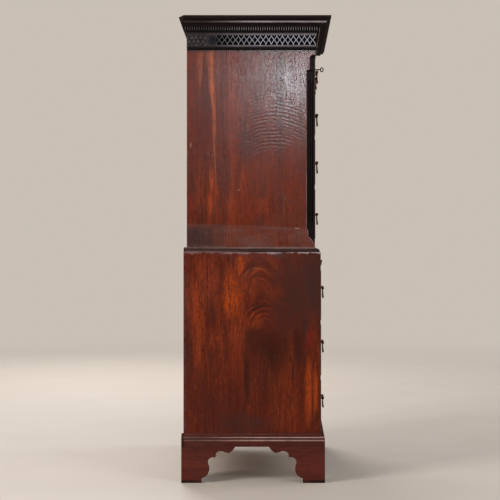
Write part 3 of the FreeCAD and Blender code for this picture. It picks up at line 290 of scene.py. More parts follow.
def worn_and_highlit_edges():
    """Arrises rubbed lighter and smoother, broken along their length, which also makes painted highlights
    along edges; reads the attribute worn.
    """
    tree, given, out = new_group(
        "worn_and_highlit_edges",
        [("Color", COLOUR, (0, 0, 0, 1)), ("Rubbed", COLOUR, (0.1, 0.05, 0.03, 1)),
         ("Roughness", FLOAT, 0.4), ("Strength", FLOAT, 0.6)],
        [("Color", COLOUR), ("Roughness", FLOAT)],
    )
    worn = put(tree, "ShaderNodeAttribute", attribute_name="worn").outputs["Fac"]
    patches = cloud(tree, object_place(tree), 14.0, 3.0)
    share = times(tree, worn, ranged(tree, patches, 0.35, 0.65, 0.25, 1.0))
    share = times(tree, share, given["Strength"])
    tree.links.new(tint(tree, share, given["Color"], given["Rubbed"]), out["Color"])
    smoother = times(tree, given["Roughness"], less(tree, 1.0, times(tree, share, 0.3)))
    tree.links.new(smoother, out["Roughness"])
    return tree


def settled_dust():
    """Grime and wax in the quiet parts of a surface, as an uneven cloud over it."""
    tree, given, out = new_group(
        "settled_dust",
        [("Color", COLOUR, (0, 0, 0, 1)), ("Roughness", FLOAT, 0.4), ("Dust", COLOUR, (0.1, 0.09, 0.08, 1)),
         ("Amount", FLOAT, 0.2), ("Spread", FLOAT, 6.0)],
        [("Color", COLOUR), ("Roughness", FLOAT)],
    )
    quiet = cloud(tree, object_place(tree), given["Spread"], 4.0, 0.6)
    share = times(tree, ranged(tree, quiet, 0.40, 0.70), given["Amount"])
    tree.links.new(tint(tree, share, given["Color"], given["Dust"]), out["Color"])
    tree.links.new(reckon(tree, "MULTIPLY_ADD", share, 0.25, given["Roughness"]), out["Roughness"])
    return tree


GRAIN, TONE, PATCH, BAND, WEAR_AND_HIGHLIGHT, DUST = (
    grain_lines(), wood_tone(), soft_patch(), ring_band(), worn_and_highlit_edges(), settled_dust()
)


# ---------------------------------------------------------------- finishes

def new_finish(name):
    finish = bpy.data.materials.new(name)
    finish.use_nodes = True
    tree = finish.node_tree
    shader = tree.nodes["Principled BSDF"]
    return finish, tree, shader


def board_place(tree, order):
    """Across, through and along a board. order names the axis for each; S is X and Y together,
    for runs that turn a corner."""
    x, y, z = object_axes(tree)
    axes = {"X": x, "Y": y, "Z": z, "S": plus(tree, x, y)}
    return gathered(tree, *[axes[axis] for axis in order])


def feed_shader(tree, shader, colour, roughness, height, depth, strength):
    bump = put(tree, "ShaderNodeBump", {"Strength": strength, "Distance": depth, "Height": height})
    for label, value in (("Base Color", colour), ("Roughness", roughness), ("Normal", bump.outputs[0])):
        tree.links.new(value, shader.inputs[label])


def wood(name, order, dark, middle, light, rubbed=(140, 96, 74), dust=(96, 84, 76), dusty=0.25,
         gloss=0.26, shine=0.2, lift=0.0004, contrast=1.0, shares=(1.3, 1.5, 1.9), worn=0.7,
         heart=-3.0, foot=0.0, bend=0.0, lean=0.0, wander=0.016, marks=None, ripple=None, matt=None):
    """Polished or bare timber; rubbed is the tone of its rubbed edges, which also stand as painted
    highlights.
    marks(tree, place, grain, colour) lays a board's own marks on it, painted light and shade among them;
    matt(tree) says how far the polish has gone dull."""
    finish, tree, shader = new_finish(name)
    place = board_place(tree, order)
    grain = use(tree, GRAIN, {"Place": place, "Heart": heart, "Foot": foot, "Bend": bend, "Lean": lean,
                              "Wander": wander})
    toned = use(tree, TONE, {
        **{part: grain[part] for part in ("Broad", "Streak", "Fibre", "Pores")},
        "Broad Share": shares[0], "Streak Share": shares[1], "Fibre Share": shares[2],
        "Contrast": contrast, "Dark": shade(*dark), "Middle": shade(*middle), "Light": shade(*light)})
    colour = marks(tree, place, grain, toned["Color"]) if marks else toned["Color"]
    roughness = ranged(tree, toned["Tone"], 0.0, 1.0, gloss * 1.15, gloss * 0.88)
    dusted = use(tree, DUST, {"Color": colour, "Roughness": roughness, "Dust": shade(*dust), "Amount": dusty})
    edged = use(tree, WEAR_AND_HIGHLIGHT, {"Color": dusted["Color"], "Roughness": dusted["Roughness"],
                             "Rubbed": shade(*rubbed), "Strength": worn})
    height = less(tree, times(tree, grain["Fibre"], 0.5), times(tree, grain["Pores"], 0.35))
    if ripple:
        height = ripple(tree, place, height)
    roughness = edged["Roughness"]
    if matt:
        roughness = reckon(tree, "MAXIMUM", roughness, matt(tree))
    feed_shader(tree, shader, edged["Color"], roughness, height, lift, 0.5)
    shader.inputs["Specular IOR Level"].default_value = shine
    return finish


def patch(tree, place, across, along, half_width, half_length, ragged=0.5):
    return use(tree, PATCH, {"Place": place, "Across": across, "Along": along, "Half Width": half_width,
                             "Half Length": half_length, "Ragged": ragged})["Mask"]


def band(tree, ring, size, width):
    return use(tree, BAND, {"Ring": ring, "Size": size, "Width": width})["Mask"]


def both(tree, first, second, strength=1.0):
    return times(tree, times(tree, first, second), strength)


def ragged_run(tree, place, close, low, high):
    """Uneven light and dark along an edge that lies across the boards."""
    return ranged(tree, speckle(tree, *split(tree, place), close, 30, 4.0, 0.65), low, high)


def strands(tree, grain, least=0.25, most=1.15):
    """How strongly a warm or dark patch shows from fibre to fibre."""
    return ranged(tree, grain["Fibre"], 0.40, 0.60, least, most)


def masked(tree, laid, mask):
    return times(tree, laid, mask) if mask else laid


def lay_patches(tree, place, colour, mask, spots):
    """Lays soft patches: (across, along, half width, half length, ragged, share, tone)."""
    for *spot, share, tone in spots:
        laid = times(tree, patch(tree, place, *spot), share)
        colour = tint(tree, masked(tree, laid, mask), colour, tone)
    return colour


def lay_rings(tree, place, ring, colour, mask, bands):
    """Picks out parts of growth rings: (size, width, patch, share, tone)."""
    for size, width, spot, share, tone in bands:
        laid = both(tree, band(tree, ring, size, width), patch(tree, place, *spot, 0.8), share)
        colour = tint(tree, masked(tree, laid, mask), colour, tone)
    return colour


def reach_from(tree, place, at, level):
    """How far a place on a board is from a given one, a little uneven."""
    across, through, along = split(tree, place)
    reach = span(tree, less(tree, across, at), less(tree, along, level))
    return swayed(tree, reach, speckle(tree, across, through, along, 30, 22, 3.0, 0.6), 0.022)


WARM_FLAME = (
    (0.234, 0.660, 0.040, 0.290, 0.9, 0.90, EMBER), (0.205, 0.860, 0.030, 0.070, 0.9, 0.35, EMBER),
    (0.062, 0.890, 0.024, 0.055, 0.9, 0.95, FLAME), (0.092, 0.765, 0.052, 0.135, 1.0, 0.95, FLAME),
    (0.165, 0.585, 0.035, 0.060, 1.0, 0.55, EMBER), (-0.190, 0.270, 0.050, 0.090, 1.0, 0.55, RUST),
    (0.070, 0.600, 0.045, 0.110, 1.0, 0.65, EMBER), (0.076, 0.500, 0.045, 0.120, 1.0, 0.60, RUST),
    (0.190, 0.800, 0.060, 0.140, 1.0, 0.55, COPPER), (0.262, 0.740, 0.025, 0.140, 1.0, 0.55, COPPER),
    (0.015, 0.800, 0.070, 0.060, 1.0, 0.45, EMBER), (0.005, 0.660, 0.060, 0.060, 1.0, 0.40, EMBER),
    (-0.115, 0.420, 0.045, 0.200, 1.0, 0.35, EMBER), (-0.100, 0.270, 0.090, 0.080, 1.0, 0.40, EMBER),
    (0.150, 0.300, 0.140, 0.100, 1.0, 0.30, WINE), (0.040, 0.240, 0.170, 0.060, 1.0, 0.60, SMOKE),
)
SMOKY_CORNER = (
    (-0.215, 0.800, 0.175, 0.210, 0.9, 0.86, SMOKE), (-0.130, 0.700, 0.095, 0.170, 1.0, 0.80, WINE),
    (-0.095, 0.775, 0.035, 0.035, 1.0, 0.55, RUST), (-0.235, 0.800, 0.018, 0.120, 1.0, 0.55, DUSK),
    (-0.205, 0.620, 0.022, 0.060, 1.0, 0.50, DUSK),
)
DARK_STRANDS = (
    (0.178, 0.710, 0.020, 0.080, 1.0, 0.65, WINE), (0.262, 0.600, 0.018, 0.300, 1.0, 0.35, WINE),
    (-0.050, 0.565, 0.120, 0.060, 1.0, 0.22, CHAR), (0.034, 0.440, 0.015, 0.200, 1.0, 0.75, UMBER),
    (0.030, 0.235, 0.120, 0.050, 1.0, 0.30, SMOKE), (-0.170, 0.530, 0.030, 0.120, 1.0, 0.45, UMBER),
    (-0.156, 0.440, 0.006, 0.050, 0.9, 0.60, CHAR),
)
DARK_HEART = (
    (-0.048, 0.560, 0.115, 0.100, 1.0, 0.58, CHAR), (-0.090, 0.500, 0.050, 0.090, 1.0, 0.50, CHAR),
    (0.010, 0.610, 0.050, 0.030, 1.0, 0.45, UMBER), (-0.025, 0.712, 0.032, 0.030, 1.0, 0.80, CHAR),
    (-0.180, 0.560, 0.035, 0.120, 1.0, 0.60, UMBER), (0.018, 0.500, 0.034, 0.130, 1.0, 0.34, CHAR),
    (-0.020, 0.770, 0.034, 0.070, 1.0, 0.45, UMBER),
)
REAR_RINGS = (
    (0.290, 0.012, (0.235, 0.66, 0.05, 0.26), 0.45, EMBER),
    (0.262, 0.008, (0.205, 0.56, 0.04, 0.20), 0.30, EMBER),
    (0.225, 0.012, (0.165, 0.62, 0.04, 0.16), 0.35, CHAR),
)
UPPER_ARCH = (-0.015, 0.800)
UPPER_ARCH_RINGS = (
    (0.086, 0.007, (0.030, 0.85, 0.07, 0.07), 0.60, CHAR),
    (0.073, 0.005, (0.0, 0.85, 0.07, 0.07), 0.75, HONEY),
    (0.060, 0.010, (-0.015, 0.85, 0.055, 0.06), 0.60, EMBER),
    (0.044, 0.006, (-0.01, 0.84, 0.05, 0.05), 0.55, CHAR),
    (0.034, 0.007, (-0.015, 0.83, 0.04, 0.05), 0.50, EMBER),
)
LOWER_ARCH = (-0.042, 0.640)
LOWER_ARCH_RINGS = (
    (0.081, 0.009, (0.005, 0.705, 0.065, 0.05), 1.00, CHAR),
    (0.098, 0.007, (0.015, 0.72, 0.06, 0.06), 0.50, CHAR),
    (0.070, 0.006, (-0.02, 0.70, 0.075, 0.05), 0.70, EMBER),
    (0.060, 0.006, (0.0, 0.68, 0.06, 0.05), 0.85, CHAR),
    (0.050, 0.006, (-0.01, 0.68, 0.05, 0.05), 0.45, EMBER),
    (0.112, 0.010, (-0.095, 0.745, 0.05, 0.05), 0.55, RUST),
)
FRONT_STREAKS = (
    (-0.221, 0.365, 0.0220, 0.165, 0.5, 1.00, FLAME), (-0.247, 0.360, 0.0140, 0.140, 0.6, 0.90, FLAME),
    (-0.227, 0.585, 0.0220, 0.060, 0.9, 0.65, CHERRY), (-0.236, 0.340, 0.0035, 0.140, 0.5, 0.80, UMBER),
    (-0.252, 0.265, 0.0120, 0.045, 0.9, 0.70, UMBER),
)
PANEL_JOINT = 0.1945  # the glued joint of both side panels, across


def lower_side_marks(tree, place, grain, colour):
    """The flame figure's bright rings, its smoky top corner, the glued joint, the rubbed top edge with a
    painted highlight over it, and painted shade along the front edge.
    """
    live = strands(tree, grain)
    across, through, along = split(tree, place)
    leaning = plus(tree, across, times(tree, along, 0.25))
    curl = speckle(tree, leaning, through, along, 95, 42, 3.0, 0.6)
    colour = tint(tree, ranged(tree, curl, 0.52, 0.72, 0.0, 0.30), colour, UMBER)
    colour = lay_patches(tree, place, colour, live, WARM_FLAME)
    colour = lay_patches(tree, place, colour, strands(tree, grain, 0.55, 1.05), SMOKY_CORNER)
    colour = lay_patches(tree, place, colour, None, DARK_STRANDS)
    colour = lay_patches(tree, place, colour, live, DARK_HEART)
    colour = lay_rings(tree, place, grain["Ring"], colour, live, REAR_RINGS)
    for arch, rings in ((UPPER_ARCH, UPPER_ARCH_RINGS), (LOWER_ARCH, LOWER_ARCH_RINGS)):
        colour = lay_rings(tree, place, reach_from(tree, place, *arch), colour, live, rings)
    colour = lay_patches(tree, place, colour, strands(tree, grain, 0.45, 1.1), FRONT_STREAKS)
    joint = patch(tree, place, PANEL_JOINT, 0.86, 0.0018, 0.10, 0.4)
    colour = tint(tree, times(tree, joint, 0.9), colour, CHAR)
    # the top edge: rubbed, with a painted highlight that brightens towards the front
    ragged_edge = reckon(tree, "MULTIPLY_ADD", ragged_run(tree, place, 34, 0.3, 0.7), 0.012, along)
    rubbed = both(tree, ranged(tree, ragged_edge, 0.9365, 0.9420), ragged_run(tree, place, 13, 0.30, 0.54))
    towards = ranged(tree, across, 0.20, -0.20, 0.35, 1.0)
    colour = tint(tree, both(tree, rubbed, towards, 0.95), colour, GREY_RUB_AND_HIGHLIGHT)
    shadow = both(tree, ranged(tree, along, 0.905, 0.928), ragged_run(tree, place, 26, 0.45, 0.65), 0.45)
    colour = tint(tree, shadow, colour, SLATE)
    grey_rear = both(tree, ranged(tree, across, 0.272, 0.288), ragged_run(tree, place, 10, 0.35, 0.6), 0.5)
    colour = tint(tree, grey_rear, colour, PLUM)
    # painted shade along the front edge
    return tint(tree, ranged(tree, across, -0.2645, -0.2685, 0.0, 0.7), colour, CHAR)


def bright_strand(tree, along, across, places, thicknesses, levels):
    """A thin light strand that leans from one place across the board to another as it rises."""
    centre = ranged(tree, along, *levels, *places)
    thick = ranged(tree, along, *levels, *thicknesses)
    off = reckon(tree, "DIVIDE", reckon(tree, "ABSOLUTE", less(tree, across, centre)), thick)
    return ranged(tree, off, 0.15, 1.0, 1.0, 0.0)


# across at foot and head, half width at foot and head, foot and head, where it fades in, strength
LIGHT_STREAKS = (
    ((0.164, 0.182), (0.008, 0.022), (1.46, 1.72), (1.36, 1.48), 0.72),
    ((0.160, 0.176), (0.004, 0.006), (1.20, 1.60), (1.12, 1.24), 0.55),
    ((0.224, 0.222), (0.010, 0.016), (1.60, 1.74), (1.57, 1.68), 0.45),
)
WARM_STRANDS = (
    (0.176, 1.235, 0.012, 0.075, 0.9, 0.80, FLAME), (0.182, 1.135, 0.015, 0.060, 0.9, 0.70, FLAME),
    (0.155, 1.170, 0.012, 0.100, 0.9, 0.60, EMBER), (0.225, 1.200, 0.030, 0.140, 1.0, 0.40, EMBER),
    (0.100, 1.130, 0.026, 0.070, 1.0, 0.60, EMBER), (0.050, 1.225, 0.016, 0.090, 0.9, 0.65, EMBER),
    (0.045, 1.120, 0.030, 0.060, 1.0, 0.35, RUST), (-0.030, 1.125, 0.030, 0.045, 1.0, 0.55, EMBER),
    (-0.045, 1.210, 0.030, 0.050, 1.0, 0.35, RUST), (-0.150, 1.260, 0.075, 0.130, 1.0, 0.35, RUST),
    (0.090, 1.420, 0.050, 0.100, 1.0, 0.25, RUST), (0.255, 1.450, 0.020, 0.200, 1.0, 0.30, RUST),
    (0.265, 1.100, 0.020, 0.120, 1.0, 0.50, CHERRY), (0.210, 1.470, 0.050, 0.120, 1.0, 0.45, GARNET),
    (-0.020, 1.280, 0.100, 0.060, 1.0, 0.35, RUST),
)
SMOKY_STRANDS = (
    (0.028, 1.385, 0.050, 0.085, 1.0, 0.50, SMOKE), (-0.020, 1.060, 0.050, 0.050, 1.0, 0.30, SMOKE),
    (0.150, 1.045, 0.050, 0.020, 1.0, 0.45, WINE),
)
CRACK_AND_KNOT = (
    (-0.100, 1.655, 0.0016, 0.035, 0.6, 0.55, CHESTNUT), (-0.181, 1.757, 0.006, 0.006, 0.2, 1.0, UMBER),
)
SCRATCHES = (
    (0.262, 1.377, 0.0022, 0.0140, 0.4, 0.75, BLUSH), (0.066, 1.193, 0.0060, 0.0025, 0.4, 0.75, BLUSH),
    (-0.173, 1.036, 0.0140, 0.0022, 0.4, 0.75, BLUSH),
)


def upper_side_marks(tree, place, grain, colour):
    """A bright streak beside the glued joint, warm patches low down, a paler foot of dust and painted sheen
    with a painted highlight at its bottom edge, painted shade under the frieze, and painted shade in the
    ripples.
    """
    across, _, along = split(tree, place)
    broken = ragged_run(tree, place, 150, 0.25, 0.62)
    for places, thicknesses, levels, fades, strength in LIGHT_STREAKS:
        strand = bright_strand(tree, along, across, places, thicknesses, levels)
        laid = both(tree, strand, ranged(tree, along, *fades), strength)
        laid = times(tree, laid, reckon(tree, "MULTIPLY_ADD", broken, 0.45, 0.55))
        colour = tint(tree, times(tree, laid, strands(tree, grain, 0.45, 1.15)), colour, STREAK)
    colour = lay_patches(tree, place, colour, strands(tree, grain), WARM_STRANDS)
    colour = lay_patches(tree, place, colour, None, SMOKY_STRANDS)
    # a paler foot band: dust, with a painted sheen over it
    foot = ranged(tree, reckon(tree, "MULTIPLY_ADD", across, -0.035, along), 1.040, 1.050, 1.0, 0.0)
    colour = tint(tree, both(tree, foot, ragged_run(tree, place, 9, 0.2, 0.7), 0.46), colour, DUST_AND_SHEEN)
    dim = both(tree, ranged(tree, across, 0.1255, 0.1295), ranged(tree, along, 1.020, 1.058, 1.0, 0.0))
    dim = times(tree, dim, ranged(tree, across, 0.166, 0.182, 0.45, 1.0))
    colour = tint(tree, both(tree, dim, strands(tree, grain, 0.30, 1.1), 0.95), colour, DUSK)
    # a painted highlight along the bottom edge, above the waist moulding
    heel = ranged(tree, along, 0.956, 0.972, 1.0, 0.0)
    heel = both(tree, heel, ragged_run(tree, place, 18, 0.38, 0.60), 0.55)
    colour = tint(tree, heel, colour, DUST_AND_SHEEN)
    # painted shade under the frieze, along the top
    colour = tint(tree, ranged(tree, along, 1.746, 1.766, 0.0, 0.6), colour, CHESTNUT)
    joint = patch(tree, place, PANEL_JOINT, 1.66, 0.0016, 0.13, 0.4)
    colour = tint(tree, times(tree, joint, 0.85), colour, UMBER)
    colour = lay_patches(tree, place, colour, None, CRACK_AND_KNOT + SCRATCHES)
    # the ripples also darken the colour: painted shade between their lines of sheen
    return tint(tree, times(tree, fiddle_wave(tree, place), 0.38), colour, CHESTNUT)


FIDDLE_PITCH = 0.0150


def fiddle_wave(tree, place):
    """Short ripples across the grain of the front half of the upper side."""
    across, through, along = split(tree, place)
    sway = speckle(tree, across, through, along, 16, 9)
    off = plus(tree, across, 0.08)
    turn = reckon(tree, "MULTIPLY_ADD", sway, 8.0, times(tree, along, 2 * math.pi / FIDDLE_PITCH))
    turn = plus(tree, turn, times(tree, times(tree, off, off), 900))
    wave = ranged(tree, reckon(tree, "SINE", turn), -0.6, 0.9)
    broken = ranged(tree, speckle(tree, across, through, along, 42, 32), 0.34, 0.57)
    where = patch(tree, place, -0.070, 1.460, 0.20, 0.21, 0.8)
    return times(tree, wave, times(tree, where, broken))


def fiddleback(tree, place, height):
    """The same ripples as a rise in the surface, so that light breaks on them."""
    return less(tree, height, times(tree, fiddle_wave(tree, place), 0.85))


def metal(name, colour, patina, spread, roughness, metallic=1.0, depth=0.0003, rubbed=(150, 124, 84)):
    """Cast or forged metal with a cloudy patina and fine pitting."""
    finish, tree, shader = new_finish(name)
    pits = cloud(tree, object_place(tree), 1500.0, 2.0)
    share = ranged(tree, cloud(tree, object_place(tree), 160.0, 4.0, 0.6), 0.5 - spread, 0.5 + spread)
    mixed = tint(tree, share, shade(*colour), shade(*patina))
    rough = reckon(tree, "MULTIPLY_ADD", share, 0.22, roughness)
    edged = use(tree, WEAR_AND_HIGHLIGHT, {"Color": mixed, "Roughness": rough, "Rubbed": shade(*rubbed), "Strength": 0.5})
    feed_shader(tree, shader, edged["Color"], edged["Roughness"], pits, depth, 0.25)
    shader.inputs["Metallic"].default_value = metallic
    return finish


CHESTS_MEET = 0.950
MITRE = UPPER_HALF + UPPER_FRONT  # |x| + y on the mitre of a moulding's front corner
CORNICE_TOP = 1.900


def behind_face(tree):
    """Dull on the bare edges behind the drawers' faces and on the slide's top, 0 on the faces."""
    y, z = object_axes(tree)[1:]
    face = ranged(tree, z, CHESTS_MEET - 2 * MM, CHESTS_MEET + 2 * MM, LOWER_FRONT, UPPER_FRONT)
    return ranged(tree, less(tree, y, face), 1 * MM, 3 * MM, 0.0, 0.66)


def off_side(tree):
    """1 on the runs of a moulding along the front, on its rear ends and on the top, 0 along the sides."""
    x, y, z = object_axes(tree)
    diagonal = plus(tree, reckon(tree, "ABSOLUTE", x), y)
    front = ranged(tree, diagonal, MITRE - 2.5 * MM, MITRE + 2.5 * MM, 1.0, 0.0)
    top = ranged(tree, z, CORNICE_TOP - 1 * MM, CORNICE_TOP - 0.4 * MM)
    return reckon(tree, "MAXIMUM", reckon(tree, "MAXIMUM", front, top), ranged(tree, y, 0.2855, 0.2885))


def by_height(lines, sway=0.0, front=None):
    """Marks for a run of moulding: painted shade with grime in its quirks, and painted highlights with polish
    rubbed through on its edges. lines are (height in mm, its painted light and shade with wear); front is the
    dark tone, a painted shade, of the run along the front."""
    low, high = lines[0][0], lines[-1][0]

    def ramp(tree, share, end):
        made = put(tree, "ShaderNodeValToRGB", {0: share})
        points = made.color_ramp.elements
        while len(points) < len(lines):
            points.new(0.5)
        for point, line in zip(points, lines):
            point.position = (line[0] - low) / (high - low)
        for point, (_, wear) in zip(points, lines):
            point.color = wear[end]
        return made.outputs[0]

    def marks(tree, place, grain, colour):
        x, y, z = object_axes(tree)
        uneven = speckle(tree, plus(tree, x, y), 0.0, z, 24, 40, 3.0, 0.6)
        z = swayed(tree, z, uneven, sway)
        share = put(tree, "ShaderNodeMapRange", enumerate((z, low * MM, high * MM, 0.0, 1.0))).outputs[0]
        # painted highlight: every member is lighter towards the front end of a side
        toned = tint(tree, ranged(tree, y, 0.22, -0.02), ramp(tree, share, 0), ramp(tree, share, 1))
        # painted shade: the runs along the front are darkened towards the front tone
        if front:
            toned = tint(tree, off_side(tree), toned, tint(tree, 0.2, shade(*front), toned))
        dim = tint(tree, 0.5, toned, INK)
        worn = tint(tree, ranged(tree, grain["Fibre"], 0.30, 0.62, 0.25, 1.0), dim, toned)
        return tint(tree, ranged(tree, uneven, 0.36, 0.58, 0.55, 1.0), dim, worn)
    return marks


def towards_front(rear, front, patchy=0.0):
    """Marks for ornament that is dim at the rear end of a side and brightens towards its front end as a
    painted highlight, and plain along the front."""
    def marks(tree, place, grain, colour):
        toned = tint(tree, ranged(tree, object_axes(tree)[1], 0.19, -0.06), shade(*rear), shade(*front))
        toned = tint(tree, off_side(tree), toned, BARK)
        flecks = cloud(tree, object_place(tree), 210.0, 2.0)
        dim = tint(tree, 0.7, toned, INK)
        return tint(tree, ranged(tree, flecks, 0.40, 0.60, 1.0 - patchy, 1.0), dim, toned)
    return marks


def near_boss(tree, place, grain, colour):
    """The frieze board shows beside the boss and the carved block."""
    y, z = object_axes(tree)[1:]
    beside = both(tree, ranged(tree, y, 0.1555, 0.1585), ranged(tree, z, 1.830, 1.832, 1.0, 0.0))
    return tint(tree, beside, colour, SLATE)


def feet_shadow_and_dark_bottom(tree, place, grain, colour):
    """The feet: a painted shadow under the base moulding, and darker towards and along their bottom edges."""
    z = object_axes(tree)[2]
    # painted shadow under the base moulding, at the top of the feet
    colour = tint(tree, ranged(tree, z, 0.130, 0.147, 0.0, 0.15), colour, OXBLOOD)
    # darker towards the bottom, and darkest at the bottom edge
    colour = tint(tree, ranged(tree, z, 0.085, 0.02, 0.0, 0.30), colour, OXBLOOD)
    low = both(tree, ranged(tree, z, 0.009, 0.014, 1.0, 0.0), ragged_run(tree, place, 20, 0.25, 0.50), 0.9)
    return tint(tree, low, colour, NEAR_BLACK)


# the painted shade, painted highlights and wear of each member of a moulding, as its tone at the rear and
# near the front
QUIRK, SHADED, HOLLOW = (SHADE_AND_GRIME, SHADE_AND_GRIME), (DIM, DIM), (NEAR_BLACK, NEAR_BLACK)
GROUND, RAISED, BEAD, LIP, TIP = (INK, INK), (SLATE, PEWTER), (BARK, SILVER), (HIDE, HIDE), (LEAF, STEEL)
FLAT, GROOVE, DULL = (MAHOGANY, MAHOGANY), (OXBLOOD, OXBLOOD), (MOLE, MOLE)
ASTRAGAL, OVOLO, EDGE = (ROSE, BLUSH), (DUST_AND_SHEEN, CREAM), (DUST_AND_SHEEN, FAWN)
FOOT_EDGE = (ROSE, CHESTNUT)

# the members of each moulding, from its foot up, by height in mm
CORNICE_LINES = (
    (1839.0, QUIRK), (1864.5, QUIRK), (1866.0, SHADED), (1871.5, SHADED), (1873.5, RAISED),
    (1876.5, BEAD), (1879.0, RAISED), (1880.5, SHADED), (1883.0, HOLLOW), (1887.0, HOLLOW),
    (1889.5, SHADED), (1893.0, QUIRK), (1895.0, HOLLOW), (1897.5, LIP), (1900.0, LIP),
)
FRIEZE_LINES = (
    (1766.0, QUIRK), (1776.0, QUIRK), (1778.5, SHADED), (1780.4, RAISED), (1785.0, RAISED),
    (1787.5, GROUND), (1826.5, GROUND), (1827.6, RAISED), (1831.0, RAISED), (1834.5, SHADED),
    (1839.0, QUIRK),
)
DROP_LINES = ((1845.0, TIP), (1856.0, TIP), (1859.0, SHADED), (1868.0, HOLLOW))
WAIST_LINES = (
    (939.0, FOOT_EDGE), (942.5, FOOT_EDGE), (945.0, DULL), (950.5, DULL), (955.5, EDGE), (958.5, EDGE),
)
BASE_LINES = (
    (147.0, FLAT), (169.0, FLAT), (172.5, ASTRAGAL), (174.5, ASTRAGAL), (176.5, GROOVE), (181.0, GROOVE),
    (185.0, OVOLO), (187.5, FLAT), (201.0, FLAT),
)


def carved_marks(tree, place, grain, colour):
    """Painted shade with grime in the hollows of the carved end blocks, and a painted highlight with polish
    on the tops of their leaves.
    """
    colour = towards_front((66, 58, 60), (50, 48, 56), 1.0)(tree, place, grain, colour)
    rise = less(tree, reckon(tree, "ABSOLUTE", object_axes(tree)[0]), FRET_PLANE)
    colour = tint(tree, ranged(tree, rise, 0.5 * MM, 1.9 * MM, 0.88, 0.0), colour, SHADE_AND_GRIME)
    return tint(tree, ranged(tree, rise, 1.9 * MM, 2.8 * MM, 0.0, 0.5), colour, PEWTER)


